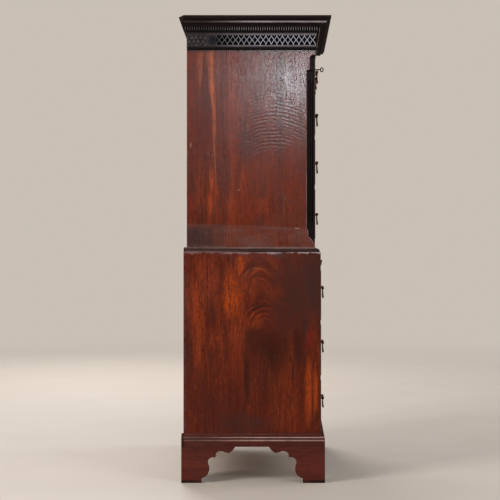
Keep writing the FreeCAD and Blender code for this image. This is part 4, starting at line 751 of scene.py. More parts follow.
def finishes():
    """Each wood gives its dark, middle and light tone; the rest are wood's own settings."""
    return {
        "lower_side": wood(
            "mahogany_lower_side", "YXZ", (46, 15, 9), (82, 29, 15), (116, 44, 18), dust=(66, 40, 34),
            dusty=0.10, heart=-0.0690, foot=0.52, bend=0.044, lean=0.14, wander=0.022, contrast=0.76,
            shares=(1.1, 0.6, 2.2), shine=0.1, gloss=0.22, lift=0.00025, marks=lower_side_marks),
        "upper_side": wood(
            "mahogany_upper_side", "YXZ", (56, 18, 7), (91, 31, 10), (126, 45, 13),
            rubbed=(158, 140, 140), dust=(78, 50, 44), dusty=0.14, wander=0.012, contrast=0.85,
            shares=(1.2, 0.9, 2.0), gloss=0.155, shine=0.16, lift=0.00022, marks=upper_side_marks,
            ripple=fiddleback),
        "front": wood(
            "mahogany_drawer_front", "ZYX", (56, 19, 11), (88, 33, 17), (122, 50, 24), dust=(76, 50, 42),
            dusty=0.15, heart=-0.02, bend=0.05, foot=-0.25, wander=0.05, contrast=0.9,
            shares=(1.4, 1.1, 2.2), shine=0.15, gloss=0.2, lift=0.00025, matt=behind_face),
        "rail": wood(
            "mahogany_rail", "ZYX", (46, 17, 11), (74, 29, 17), (96, 40, 22), contrast=0.9, shine=0.12,
            matt=behind_face),
        "post": wood(
            "mahogany_post", "XYZ", (42, 16, 10), (68, 27, 16), (90, 37, 21), contrast=0.9, shine=0.12),
        "moulding": wood(
            "mahogany_moulding", "ZXS", (46, 16, 12), (70, 27, 20), (90, 38, 26), rubbed=(150, 116, 106),
            dust=(70, 46, 40), dusty=0.15, worn=0.25, contrast=0.8, gloss=0.3, shine=0.1,
            marks=by_height(BASE_LINES, 0.0010, (54, 22, 15)), matt=off_side),
        "waist": wood(
            "dark_waist", "ZXS", (20, 10, 9), (32, 17, 15), (54, 32, 28), rubbed=(110, 92, 90),
            dust=(52, 38, 34), dusty=0.15, worn=0.2, gloss=0.35, shine=0.08,
            marks=by_height(WAIST_LINES, 0.0030, (34, 16, 12)), matt=off_side),
        "foot": wood(
            "mahogany_bracket", "ZXS", (60, 25, 20), (84, 36, 29), (104, 45, 33), rubbed=(104, 60, 46),
            dust=(74, 44, 36), dusty=0.12, worn=0.35, contrast=0.8, gloss=0.3, shine=0.08,
            marks=feet_shadow_and_dark_bottom),
        "cornice": wood(
            "dark_cornice", "ZXS", (14, 6, 4), (28, 14, 11), (50, 28, 20), rubbed=(74, 58, 50),
            dust=(40, 28, 25), dusty=0.12, worn=0.35, contrast=0.9, gloss=0.34, shine=0.06,
            marks=by_height(CORNICE_LINES, 0.0006, (36, 25, 20)), matt=off_side),
        "frieze": wood(
            "dark_frieze", "ZXS", (20, 17, 18), (34, 29, 31), (52, 46, 49), rubbed=(84, 78, 82),
            dust=(44, 38, 40), dusty=0.12, worn=0.2, contrast=0.9, gloss=0.34, shine=0.06,
            marks=by_height(FRIEZE_LINES, 0.0008, (26, 16, 13))),
        "fret": wood(
            "dark_fret", "ZXS", (28, 26, 28), (46, 43, 46), (68, 64, 68), rubbed=(120, 116, 120),
            dust=(60, 57, 60), dusty=0.1, contrast=0.9, gloss=0.3, shine=0.1,
            marks=towards_front((56, 54, 59), (172, 172, 182), 0.5)),
        "carving": wood(
            "dark_carving", "ZXS", (16, 12, 12), (36, 30, 31), (60, 52, 53), rubbed=(96, 88, 90),
            dust=(40, 36, 37), dusty=0.15, contrast=0.9, gloss=0.4, shine=0.08, marks=carved_marks),
        "boss": wood(
            "dark_boss", "ZXS", (8, 8, 11), (20, 20, 26), (44, 44, 54), rubbed=(70, 70, 80),
            dust=(26, 26, 30), dusty=0.15, contrast=1.2, gloss=0.35, shine=0.1),
        "drops": wood(
            "dark_drops", "ZXS", (38, 33, 33), (62, 55, 55), (88, 80, 80), rubbed=(120, 110, 110),
            dust=(60, 52, 50), dusty=0.15, contrast=1.1, gloss=0.4, shine=0.08,
            marks=by_height(DROP_LINES)),
        # the near black ground behind the lattice and the drops is painted shade
        "shaded_fret_ground": wood(
            "shaded_fret_ground", "ZXS", (3, 2, 2), (5, 4, 4), (8, 7, 7), rubbed=(16, 12, 12), dust=(10, 8, 8),
            dusty=0.1, worn=0.0, gloss=0.7, shine=0.03, marks=near_boss),
        # the canted corners near black: painted shade
        "cant": wood(
            "dark_cant", "XYZ", (8, 3, 2), (16, 7, 5), (28, 13, 9), rubbed=(96, 78, 72), dust=(24, 13, 9),
            dusty=0.15, worn=0.3, gloss=0.5, shine=0.05),
        "oak": wood(
            "oak_linings", "ZXS", (112, 84, 54), (142, 110, 74), (164, 132, 94), rubbed=(170, 142, 106),
            dust=(120, 104, 84), dusty=0.3, contrast=0.7, gloss=0.6),
        "pine": wood(
            "pine_boards", "XYZ", (120, 86, 54), (150, 112, 74), (172, 136, 96), rubbed=(180, 150, 110),
            dust=(110, 92, 74), dusty=0.45, contrast=0.8, gloss=0.68),
        "brass": metal("aged_brass", (92, 70, 40), (40, 30, 20), 0.14, 0.36),
        "iron": metal(
            "dark_iron", (17, 13, 11), (9, 7, 6), 0.12, 0.68, metallic=0.35, rubbed=(32, 28, 25)),
    }


# ---------------------------------------------------------------- making pieces

def islands(work):
    """The separate shells of a mesh, each as a set of vertices."""
    left, shells = set(work.verts), []
    while left:
        shell, edge = set(), [left.pop()]
        while edge:
            vert = edge.pop()
            shell.add(vert)
            for link in vert.link_edges:
                other = link.other_vert(vert)
                if other in left:
                    left.discard(other)
                    edge.append(other)
        shells.append(shell)
    return shells


def finish_piece(name, work, skins, body, replaced=(), smooth=32.0, shaded=False):
    """Makes the mesh an object on its body. One that isn't shaded yet is first turned outwards
    and smoothed."""
    if not shaded:
        bmesh.ops.recalc_face_normals(work, faces=work.faces)
        for face in work.faces:
            face.smooth = True
    mesh = bpy.data.meshes.new(name)
    work.normal_update()
    rounded = [face.smooth for face in work.faces]
    work.to_mesh(mesh)
    work.free()
    for skin in skins if isinstance(skins, (list, tuple)) else [skins]:
        mesh.materials.append(skin)
    if "custom_normal" in mesh.attributes:
        mesh.attributes.remove(mesh.attributes["custom_normal"])
    mesh.set_sharp_from_angle(angle=math.radians(smooth))
    mesh.polygons.foreach_set("use_smooth", rounded)
    piece = bpy.data.objects.new(name, mesh)
    bpy.context.scene.collection.objects.link(piece)
    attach(piece, body)
    if replaced:
        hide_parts(*replaced)


FLAT_TURN, ARRIS_TURN = 3.0, 28.0  # degrees: below the first faces are one flat, above the second an edge


def eased(node, ease, skins, body="case", keep=None, choose=None, name=None, where=None,
          rub_and_highlight=None):
    """A copy of a carried-over node with its arrises eased; the eased strips are marked worn.
    keep(low, high) picks its shells, where(edge) the arrises and choose(face, is a strip) the number
    of a face's finish; the rubbing function says from a strip's middle how far it is rubbed and painted as a
    highlight."""
    work = bmesh.new()
    work.from_mesh(NODES[node].data)
    bmesh.ops.remove_doubles(work, verts=work.verts, dist=1e-6)
    for shell in islands(work) if keep else ():
        low, high = [Vector([pick(v.co[i] for v in shell) for i in range(3)]) for pick in (min, max)]
        if not keep(low, high):
            bmesh.ops.delete(work, geom=list(shell), context="VERTS")
    bmesh.ops.dissolve_limit(work, angle_limit=math.radians(0.5), verts=work.verts, edges=work.edges)
    turns = {e: math.degrees(e.calc_face_angle(0.0)) for e in work.edges if len(e.link_faces) == 2}
    sharp = [e for e, turn in turns.items() if turn > ARRIS_TURN and (where is None or where(e))]
    worn = work.loops.layers.float.new("worn")
    made = bmesh.ops.bevel(work, geom=sharp, offset=ease, offset_type="OFFSET", segments=2, profile=0.55,
                           affect="EDGES", clamp_overlap=False, loop_slide=True)
    strips = {face for face in made["faces"] if face.is_valid}
    for face in work.faces:
        plain = [e for e in face.edges if len(e.link_faces) == 2 and not strips.intersection(e.link_faces)]
        curved = [e for e in plain if FLAT_TURN < math.degrees(e.calc_face_angle(0.0)) < ARRIS_TURN]
        face.smooth = face in strips or bool(curved)
        if choose:
            face.material_index = choose(face, face in strips)
    for face in strips:
        share = rub_and_highlight(face.calc_center_median()) if rub_and_highlight else 1.0
        for loop in face.loops:
            loop[worn] = share
    finish_piece(name or node + "_eased", work, skins, body, [node], smooth=50.0, shaded=True)


def ring_at(work, middle, first, second, sides):
    """A ring of vertices about a place; first and second are its half axes."""
    turns = [2 * math.pi * k / sides for k in range(sides)]
    return [work.verts.new(middle + first * math.cos(t) + second * math.sin(t)) for t in turns]


def skin_rings(work, rings):
    """Joins rings in turn with faces; a ring of one vertex closes an end."""
    for first, second in zip(rings, rings[1:]):
        sides = max(len(first), len(second))
        for k in range(sides):
            turn = (k, (k + 1) % sides)
            corners = [first[i % len(first)] for i in turn] + [second[i % len(second)] for i in turn[::-1]]
            work.faces.new(list(dict.fromkeys(corners)))


def lathe(work, seat, axis, profile, sides=16):
    """Turns a profile of (radius, reach) in mm about an axis; nought radius closes an end."""
    axis = Vector(axis)
    side = axis.orthogonal().normalized()
    other = axis.cross(side)
    rings = []
    for radius, reach in profile:
        middle = Vector(seat) + axis * reach * MM
        if radius > 0:
            rings.append(ring_at(work, middle, side * radius * MM, other * radius * MM, sides))
        else:
            rings.append([work.verts.new(middle)])
    skin_rings(work, rings)


def tube(work, path, radii, sides, flat=Vector((0, 1, 0))):
    """A closed bar along a path, with a radius at each point; flat is square to the path's plane."""
    rings = []
    for i, (point, radius) in enumerate(zip(path, radii)):
        run = (path[min(i + 1, len(path) - 1)] - path[max(i - 1, 0)]).normalized()
        rings.append(ring_at(work, point, run.cross(flat).normalized() * radius, flat * radius, sides))
    skin_rings(work, rings)
    work.faces.new(rings[0])
    work.faces.new(list(reversed(rings[-1])))


def slab(work, low, high, bevel):
    """A squared block with eased edges."""
    made = bmesh.ops.create_cube(work, size=1.0)["verts"]
    for vert in made:
        vert.co = Vector([low[i] if vert.co[i] < 0 else high[i] for i in range(3)])
    edges = list({e for v in made for e in v.link_edges})
    bmesh.ops.bevel(work, geom=edges, offset=bevel, segments=2, profile=0.5, affect="EDGES")


# ---------------------------------------------------------------- handles, key and knobs; lengths in mm

POST_SPACING = 90.0
PIVOT_REACH = 10.0  # from the drawer's face to the bail's pins
PIN_RADIUS = 1.9
FRONT_THICKNESS = 22.0
POST_PROFILE = (
    (0.0, -0.2 * MM), (11.0, -0.2 * MM), (11.0, 0.7), (10.2, 1.5), (8.6, 1.9), (7.8, 1.7), (6.4, 2.4),
    (4.6, 3.2), (3.6, 4.6), (3.7, 5.8), (5.4, 6.8), (6.0, 8.2), (6.0, 11.8), (5.3, 13.6), (3.4, 15.3),
    (1.6, 15.9), (0.0, 16.0),
)
SHANK_END = ((0.0, 0.0), (2.3, 0.0), (2.3, 5.2), (1.7, 6.0), (0.0, 6.0))
NUT_HALF, NUT_THICKNESS, NUT_EASE = 5.5, 3.0, 0.6

# a bail, from its pin in: half its length, half to the shoulder's bend, the bend's radius, and its fall
PIN_END, PIN_INNER, SHOULDER, BEND_RADIUS, BAIL_DROP = 43.0, 40.0, 37.0, 6.0, 40.0
BEND_TURN = math.radians(120)
GRIP_HALF = 6.0
BAIL_SET_BACK = 2.0  # the grip hangs this far in front of the pins

KEY_EYE = 1.716  # the height of the keyhole, in metres
KEY_START, BOW_REACH = 20.0, 34.25  # behind the face, and before it
KEY_SHANK = (
    (0.0, 0.0), (2.4, 0.0), (2.4, 23.5), (3.6, 24.0), (3.9, 25.5), (3.6, 27.0), (2.8, 27.6), (2.6, 38.0),
    (3.2, 40.5), (3.2, 42.0), (2.2, 43.5), (1.6, 47.5), (0.0, 47.5),
)
BOW_HALF_WIDTH, BOW_HALF_HEIGHT, BOW_POINTS = 5.7, 8.5, 28
BOW_BAR = (2.25, 1.5)  # half its width and half its thickness
BIT_HALF, BIT_NEAR, BIT_FAR, BIT_TOP, BIT_FOOT = 1.1, 6.2, 1.3, 1.0, 8.0

KNOB_PLACES = (-0.25, 0.25)
KNOB_PROFILE = (
    (0.0, -0.2), (5.0, -0.2), (4.9, 0.6), (3.0, 1.4), (2.6, 2.6), (3.4, 3.4), (6.2, 4.2), (7.0, 5.4),
    (6.6, 6.7), (4.8, 7.6), (2.2, 8.0), (0.0, 8.1),
)


def handle_centre(drawer, side):
    """The middle of the pair of posts of one of a drawer's handles."""
    low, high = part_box(f"{drawer}_{side}_bail")
    return Vector(((low.x + high.x) / 2, high.y, high.z - PIN_RADIUS * MM))


def front_face(drawer):
    """The y of a drawer's face, behind its cockbead."""
    return LOWER_FRONT if drawer.startswith("lower") else UPPER_FRONT


def handles(drawer, skins):
    """Turned posts with roses, their shanks through the front, and square nuts inside."""
    work = bmesh.new()
    face = front_face(drawer)
    inside = face + FRONT_THICKNESS * MM
    half = Vector((NUT_HALF * MM, 0, NUT_HALF * MM))
    for side in HANDLE_SIDES:
        centre = handle_centre(drawer, side)
        for x in (centre.x - POST_SPACING / 2 * MM, centre.x + POST_SPACING / 2 * MM):
            lathe(work, (x, face, centre.z), (0, -1, 0), POST_PROFILE, 20)
            inner = Vector((x, inside, centre.z))
            lathe(work, inner, (0, 1, 0), SHANK_END, 8)
            slab(work, inner - half, inner + half + Vector((0, NUT_THICKNESS * MM, 0)), NUT_EASE * MM)
    finish_piece(f"{drawer}_handle_posts", work, skins, f"{drawer}_drawer")


def bail_path():
    """Half of a swan-neck bail from its pin to the middle of the grip."""
    fall = 1 - math.cos(BEND_TURN)
    large = (BAIL_DROP - BEND_RADIUS * fall) / fall
    path = [(-PIN_END, 0.0), (-PIN_INNER, 0.0)]
    for i in range(9):
        t = BEND_TURN * i / 8
        path.append((-SHOULDER + BEND_RADIUS * math.sin(t), -BEND_RADIUS * (1 - math.cos(t))))
    end_x, end_z = path[-1]
    middle_x, middle_z = end_x + large * math.sin(BEND_TURN), end_z + large * math.cos(BEND_TURN)
    for i in range(1, 13):
        t = BEND_TURN * (1 - i / 12)
        path.append((middle_x - large * math.sin(t), middle_z - large * math.cos(t)))
    path.append((-GRIP_HALF, -BAIL_DROP))
    return path


def bail_radius(x, share):
    """Thin at the pins, and swelled towards the middle of the grip; share is how far down."""
    if share < 0.05 / BAIL_DROP and abs(x) > SHOULDER - 0.5:
        return PIN_RADIUS
    bulb = 0.4 * (1 - min(1.0, abs(x) / 14.0)) if share > 0.98 else 0.0
    return 2.1 + 1.5 * share ** 3 + bulb


def bail(drawer, side, skins):
    """A swan-neck bail with a swelled grip, hanging from its posts."""
    centre = handle_centre(drawer, side)
    pivot = front_face(drawer) - PIVOT_REACH * MM
    half = bail_path()
    points, radii = [], []
    for x, z in half + [(0.0, -BAIL_DROP)] + [(-x, z) for x, z in reversed(half)]:
        share = min(1.0, -z / BAIL_DROP)
        points.append(Vector((centre.x + x * MM, pivot - BAIL_SET_BACK * MM * share ** 2, centre.z + z * MM)))
        radii.append(bail_radius(x, share) * MM)
    work = bmesh.new()
    tube(work, points, radii, 14)
    name = f"{drawer}_{side}_bail"
    finish_piece(name + "_cast", work, skins, name, [name], smooth=50)


def key_piece(skins):
    """The key standing in its lock: oval bow, collar, round shank and bit."""
    low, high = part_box("drawer_key")
    x = (low.x + high.x) / 2
    work = bmesh.new()
    lathe(work, (x, UPPER_FRONT + KEY_START * MM, KEY_EYE), (0, -1, 0), KEY_SHANK)
    middle = Vector((x, UPPER_FRONT - BOW_REACH * MM, KEY_EYE))
    loop = []
    for turn in [2 * math.pi * i / BOW_POINTS for i in range(BOW_POINTS)]:
        reach = Vector((0, math.cos(turn) * BOW_HALF_WIDTH, math.sin(turn) * BOW_HALF_HEIGHT))
        loop.append(middle + reach * MM)
    across = Vector((1, 0, 0))
    rings = []
    for i, point in enumerate(loop):
        run = (loop[(i + 1) % BOW_POINTS] - loop[i - 1]).normalized()
        out = run.cross(across).normalized()
        rings.append(ring_at(work, point, out * BOW_BAR[0] * MM, across * BOW_BAR[1] * MM, 8))
    skin_rings(work, rings + rings[:1])
    slab(work, (x - BIT_HALF * MM, high.y - BIT_NEAR * MM, KEY_EYE - BIT_FOOT * MM),
         (x + BIT_HALF * MM, high.y - BIT_FAR * MM, KEY_EYE - BIT_TOP * MM), 0.3 * MM)
    finish_piece("key_forged", work, skins, "drawer_key", ["drawer_key"])


def slide_knobs(skins):
    """The two small turned knobs on the edge of the brushing slide."""
    low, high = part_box("brushing_slide_knobs")
    stretch = (high.y - low.y) / (KNOB_PROFILE[-1][1] * MM)
    profile = [(radius, reach * stretch) for radius, reach in KNOB_PROFILE]
    work = bmesh.new()
    for x in KNOB_PLACES:
        lathe(work, (x, high.y, (low.z + high.z) / 2), (0, -1, 0), profile, 20)
    finish_piece("slide_knobs_turned", work, skins, "brushing_slide", ["brushing_slide_knobs"])


# ---------------------------------------------------------------- repeated ornament

def ornament_tree(name, sizes, build):
    """A geometry node tree: build(tree, given) returns the geometry of one repeat, laid out by
    Pitch and Count. All sizes but Count are lengths."""
    tree = bpy.data.node_groups.new(name, "GeometryNodeTree")
    tree.interface.new_socket("Geometry", in_out="INPUT", socket_type="NodeSocketGeometry")
    for label in ("Pitch", *sizes, "Bar", "Depth"):
        tree.interface.new_socket(label, in_out="INPUT", socket_type=FLOAT)
    tree.interface.new_socket("Count", in_out="INPUT", socket_type="NodeSocketInt")
    tree.interface.new_socket("Finish", in_out="INPUT", socket_type="NodeSocketMaterial")
    tree.interface.new_socket("Geometry", in_out="OUTPUT", socket_type="NodeSocketGeometry")
    given = tree.nodes.new("NodeGroupInput").outputs
    unit = tree.nodes.new("GeometryNodeJoinGeometry")
    for part in build(tree, given):
        tree.links.new(part, unit.inputs[0])
    step = gathered(tree, given["Pitch"], 0.0, 0.0)
    row = put(tree, "GeometryNodeMeshLine", {"Count": given["Count"], "Offset": step}).outputs[0]
    laid = put(tree, "GeometryNodeInstanceOnPoints", {"Points": row, "Instance": unit.outputs[0]}).outputs[0]
    whole = put(tree, "GeometryNodeRealizeInstances", {0: laid}).outputs[0]
    skinned = put(tree, "GeometryNodeSetMaterial", {"Geometry": whole, "Material": given["Finish"]})
    tree.links.new(skinned.outputs[0], tree.nodes.new("NodeGroupOutput").inputs[0])
    return tree


def bar(tree, given, steps, across, up, drop=0.0):
    """A flat bar through points put where across(share) and up(share) say, in the XY plane."""
    line = put(tree, "GeometryNodeCurvePrimitiveLine", {"End": (0, 1, 0)}).outputs[0]
    line = put(tree, "GeometryNodeResampleCurve", {"Curve": line, "Count": steps}).outputs[0]
    share = put(tree, "GeometryNodeSplineParameter").outputs["Factor"]
    place = gathered(tree, across(share), up(share), drop)
    line = put(tree, "GeometryNodeSetPosition", {"Geometry": line, "Position": place}).outputs[0]
    upright = put(tree, "GeometryNodeSetCurveNormal", {"Curve": line}, mode="Z_UP").outputs[0]
    section = put(tree, "GeometryNodeCurvePrimitiveQuadrilateral",
                  {"Width": given["Bar"], "Height": given["Depth"]}).outputs[0]
    return put(tree, "GeometryNodeCurveToMesh",
               {"Curve": upright, "Profile Curve": section, "Fill Caps": True}).outputs[0]


def crossed_bars(tree, given, steps, across, up, sink):
    """Two bars that lean against each other; the second lies a little lower."""
    return [bar(tree, given, steps, lambda share, lean=lean: times(tree, across(share), lean), up, drop)
            for lean, drop in ((1, 0.0), (-1, -sink))]


CUSP_RADII, CUSP_LENGTH, CUSP_LIFT = (0.0006, 0.0022), 0.004, 0.0005


def fret_tree():
    """Crossing ogee bars, upright at their ends, with a small cusp at the head of each opening."""
    def build(tree, given):
        half = times(tree, given["Pitch"], 0.5)

        def across(share):
            return times(tree, reckon(tree, "SINE", times(tree, less(tree, share, 0.5), math.pi)), half)

        def up(share):
            return times(tree, share, given["Height"])

        bars = crossed_bars(tree, given, 9, across, up, 0.25 * MM)
        top, bottom = CUSP_RADII
        cusp = put(tree, "GeometryNodeMeshCone", {"Vertices": 4, "Radius Top": top, "Radius Bottom": bottom,
                                                  "Depth": CUSP_LENGTH}).outputs[0]
        lift = gathered(tree, 0.0, less(tree, given["Height"], CUSP_LIFT), 0.0)
        cusp = put(tree, "GeometryNodeTransform", {"Geometry": cusp, "Translation": lift,
                                                   "Rotation": (math.pi / 2, 0, 0)}).outputs[0]
        return [*bars, cusp]
    return ornament_tree("fret_lattice", ["Height"], build)


ARCH_BEND = math.radians(62)


def arcade_tree():
    """Interlaced pointed arches on thin legs, each leg ending in a small drop."""
    def build(tree, given):
        def across(share):
            swing = less(tree, 1.0, reckon(tree, "COSINE", times(tree, share, ARCH_BEND)))
            return times(tree, times(tree, swing, given["Pitch"]), 1 / (1 - math.cos(ARCH_BEND)))

        def up(share):
            swing = times(tree, reckon(tree, "SINE", times(tree, share, ARCH_BEND)), 1 / math.sin(ARCH_BEND))
            return reckon(tree, "MULTIPLY_ADD", swing, given["Rise"], given["Leg"])

        arches = crossed_bars(tree, given, 5, across, up, 0.2 * MM)
        leg = bar(tree, given, 2, lambda share: 0.0, lambda share: times(tree, share, given["Leg"]))
        drop = put(tree, "GeometryNodeMeshIcoSphere", {"Radius": times(tree, given["Bar"], 0.72),
                                                       "Subdivisions": 1}).outputs[0]
        return [*arches, leg, drop]
    return ornament_tree("drop_arcade", ["Leg", "Rise"], build)


def lay_ornament(whole, tree, values, origin, run, out):
    """Adds a run of ornament to a bmesh, with its X along run, its Y upwards and its Z along out;
    values are given by input name."""
    carrier = bpy.data.objects.new("ornament_carrier", bpy.data.meshes.new("ornament_carrier"))
    bpy.context.scene.collection.objects.link(carrier)
    modifier = carrier.modifiers.new("ornament", "NODES")
    modifier.node_group = tree
    for item in tree.interface.items_tree:
        if item.in_out == "INPUT" and item.name in values:
            modifier[item.identifier] = values[item.name]
    bpy.context.view_layer.update()
    mesh = bpy.data.meshes.new_from_object(carrier.evaluated_get(bpy.context.evaluated_depsgraph_get()))
    run, out, up = Vector(run), Vector(out), Vector((0, 0, 1))
    for vert in mesh.vertices:
        vert.co = Vector(origin) + run * vert.co.x + up * vert.co.y + out * vert.co.z
    mesh.polygons.foreach_set("material_index", [0] * len(mesh.polygons))
    whole.from_mesh(mesh)
    bpy.data.objects.remove(carrier)
    bpy.data.meshes.remove(mesh)


# the frieze's lattice, in metres
FRET_LOW, FRET_HIGH = 1.786, 1.8275
FRET_PITCH, FRET_BAR, FRET_DEPTH = 0.0225, 0.0024, 0.0028
FRET_FRONT = UPPER_FRONT - 0.004
SUNK = 0.1 * MM  # ornament is let into its ground this far
STRIP_LOW, STRIP_DEPTH, STRIP_EASE = 1.7795, 0.0026, 0.0005
BLOCK_FRONT, BLOCK_BACK, BLOCK_LOW, BLOCK_HIGH = 0.1934, 0.2780, 1.781, 1.8265
BLOCK_COLUMNS, BLOCK_ROWS = 68, 38
LEAVES_ALONG, LEAVES_UP = 4.6, 3.0
FRAME_SIDES, FRAME_ENDS, FRAME_RISE = 3.0 / 85, 2.5 / 46, 2.0  # widths as shares of the block; rise in mm
BOSS_Y, BOSS_Z, BOSS_RADIUS, BOSS_RISE, BOSS_PETALS = 0.1745, 1.8060, 16.4, 5.0, 8


def leaf_rise(u, v):
    """How far the carved block stands out, in mm: a raised frame round overlapped leaf scales."""
    if min(u, 1 - u) < FRAME_SIDES or min(v, 1 - v) < FRAME_ENDS:
        return FRAME_RISE
    row = math.floor(v * LEAVES_UP)
    cell = (u * LEAVES_ALONG + 0.5 * (row % 2)) % 1.0 - 0.5
    fall = v * LEAVES_UP - row
    leaf = max(0.0, 1.0 - (abs(cell) * 2.1) ** 2) * (1.0 - 0.75 * fall)
    vein = 0.35 * math.exp(-(cell / 0.07) ** 2)
    curl = 0.35 * math.sin(9 * u + 5 * math.sin(7 * v)) * math.sin(11 * v)
    return max(0.1, 0.5 + 2.3 * leaf - vein + curl)


def close_back(work, side, rim):
    """Walls from a rim down to the ground, and a back."""
    back = [work.verts.new((side * (FRET_PLANE - SUNK), v.co.y, v.co.z)) for v in rim]
    skin_rings(work, [rim, back])
    work.faces.new(back)


def carved_block(work, side):
    """A block of overlapped leaf scales at the rear end of a side's frieze."""
    def vertex(i, j):
        u, v = i / BLOCK_COLUMNS, j / BLOCK_ROWS
        y, z = BLOCK_FRONT + (BLOCK_BACK - BLOCK_FRONT) * u, BLOCK_LOW + (BLOCK_HIGH - BLOCK_LOW) * v
        return work.verts.new((side * (FRET_PLANE + leaf_rise(u, v) * MM), y, z))

    grid = [[vertex(i, j) for j in range(BLOCK_ROWS + 1)] for i in range(BLOCK_COLUMNS + 1)]
    for near, far in zip(grid, grid[1:]):
        for j in range(BLOCK_ROWS):
            work.faces.new((near[j], far[j], far[j + 1], near[j + 1]))
    rim = [line[0] for line in grid] + grid[-1][1:]
    rim += [line[-1] for line in grid[-2::-1]] + grid[0][-2:0:-1]
    close_back(work, side, rim)


def rosette(work, side):
    """A round boss of petals beside the carved block."""
    rings, sides = 9, 36
    laid = [[work.verts.new((side * (FRET_PLANE + BOSS_RISE * MM), BOSS_Y, BOSS_Z))]]
    for share in [r / rings for r in range(1, rings + 1)]:
        dome = BOSS_RISE * math.sqrt(max(0.0, 1 - (share * 0.96) ** 2))
        groove = 0.9 if 0.25 < share < 0.4 else 0.0
        ring = []
        for t in [2 * math.pi * k / sides for k in range(sides)]:
            hollow = 0.5 - 0.5 * math.cos(BOSS_PETALS * t)
            rise = max(0.0, dome - 1.3 * hollow * math.sin(math.pi * min(1.0, share * 1.05)) - groove)
            reach = BOSS_RADIUS * share * (1 - 0.05 * hollow * share) * MM
            ring.append(work.verts.new((side * (FRET_PLANE + rise * MM), BOSS_Y + reach * 1.06 * math.cos(t),
                                        BOSS_Z + reach * math.sin(t))))
        laid.append(ring)
    skin_rings(work, laid)
    close_back(work, side, laid[-1])


LATTICE_START, LATTICE_END = BOSS_Y - 0.0165, UPPER_FRONT - 0.0035


def side_strip(work, side):
    """The plain strip under the lattice of one side."""
    inner, outer = sorted((side * (FRET_PLANE - SUNK), side * (FRET_PLANE + STRIP_DEPTH)))
    slab(work, (inner, LATTICE_END, STRIP_LOW), (outer, LATTICE_START + 0.002, FRET_LOW), STRIP_EASE)


def frieze_ornament(skins):
    """The lattice of the frieze, with a carved block, a boss and a strip on each side."""
    tree = fret_tree()
    whole = bmesh.new()
    sizes = {"Pitch": FRET_PITCH, "Height": FRET_HIGH - FRET_LOW, "Bar": FRET_BAR, "Depth": FRET_DEPTH,
             "Finish": skins[0]}
    count = int((LATTICE_START - LATTICE_END) / FRET_PITCH)
    for side in (-1, 1):
        start = (side * (FRET_PLANE + FRET_DEPTH / 2), LATTICE_START - FRET_PITCH * 0.55, FRET_LOW)
        lay_ornament(whole, tree, {**sizes, "Count": count}, start, (0, -1, 0), (side, 0, 0))
        for number, carve in enumerate((carved_block, rosette, side_strip), start=1):
            before = set(whole.faces)
            carve(whole, side)
            for face in set(whole.faces) - before:
                face.material_index = number
    count = int(2 * FRET_PLANE / FRET_PITCH)
    start = (-(count - 1) * FRET_PITCH / 2, FRET_FRONT - FRET_DEPTH / 2, FRET_LOW)
    lay_ornament(whole, tree, {**sizes, "Count": count}, start, (1, 0, 0), (0, -1, 0))
    slab(whole, (-FRET_PLANE, FRET_FRONT - STRIP_DEPTH, STRIP_LOW), (FRET_PLANE, FRET_FRONT + SUNK, FRET_LOW),
         STRIP_EASE)
    finish_piece("frieze_lattice_carved", whole, skins, "case", ["frieze_fret"], smooth=40)


# the row of drops under the cornice, in metres
DROP_PITCH = 0.547 / 57
DROP_PLANE, DROP_DEPTH, DROP_FOOT, DROP_START = 0.527, 0.0024, 1.8455, 0.2835
DROP_RUN_ON, DROP_FRONT = 0.017, UPPER_FRONT - 0.0182
DROP_SIZES = {"Pitch": DROP_PITCH, "Leg": 0.0120, "Rise": 0.0060, "Bar": 0.0021, "Depth": DROP_DEPTH}


def cornice_drops(skin):
    """The arcade of drops along both sides and the front."""
    tree = arcade_tree()
    whole = bmesh.new()
    sizes = {**DROP_SIZES, "Finish": skin}
    count = round((DROP_START - UPPER_FRONT + DROP_RUN_ON) / DROP_PITCH)
    for side in (-1, 1):
        start = (side * (DROP_PLANE + DROP_DEPTH / 2), DROP_START, DROP_FOOT)
        lay_ornament(whole, tree, {**sizes, "Count": count}, start, (0, -1, 0), (side, 0, 0))
    count = int(2 * DROP_PLANE / DROP_PITCH)
    start = (-(count - 1) * DROP_PITCH / 2, DROP_FRONT, DROP_FOOT)
    lay_ornament(whole, tree, {**sizes, "Count": count}, start, (1, 0, 0), (0, -1, 0))
    finish_piece("cornice_drop_arcade", whole, skin, "case", smooth=40)


# ---------------------------------------------------------------- the piece itself

CANT_REAR = -0.205  # the y where the cant begins
CANT_FLOOR = 0.7166  # |x| - y in the bottom of its flutes
SIDEWAYS = 0.97  # the x of a face's normal from which it belongs to the side


def cant_skin(face, strip):
    """The canted corners and their flutes take the second finish."""
    middle = face.calc_center_median()
    on_cant = middle.y < CANT_REAR and abs(middle.x) - middle.y > CANT_FLOOR
    return 1 if on_cant and not strip and abs(face.normal.x) < SIDEWAYS else 0


def outer_arris(edge):
    return all(abs(vert.co.x) > UPPER_HALF - 0.0002 for vert in edge.verts)


def near_level(*levels, reach=0.004, elsewhere=0.2):
    """How far arrises are rubbed and painted as highlights: wholly near the given heights, a little
    elsewhere.
    """
    return lambda place: 1.0 if any(abs(place.z - level) < reach for level in levels) else elsewhere


UPRIGHT = 0.3  # the z of a face's normal, at most, for it to count as upright


def level_skin(low, high):
    """The second finish for upright faces between two heights."""
    def choose(face, strip):
        return 1 if low < face.calc_center_median().z < high and abs(face.normal.z) < UPRIGHT else 0
    return choose


BARE_NODES = {
    "pine": ("upper_inner_boards", "lower_inner_boards", "upper_back_boards", "lower_back_boards",
             "foot_blocks"),
    "iron": ("drawer_lock_bolt",),
    "oak": tuple(f"{drawer}_drawer_box" for drawer in DRAWERS),
}


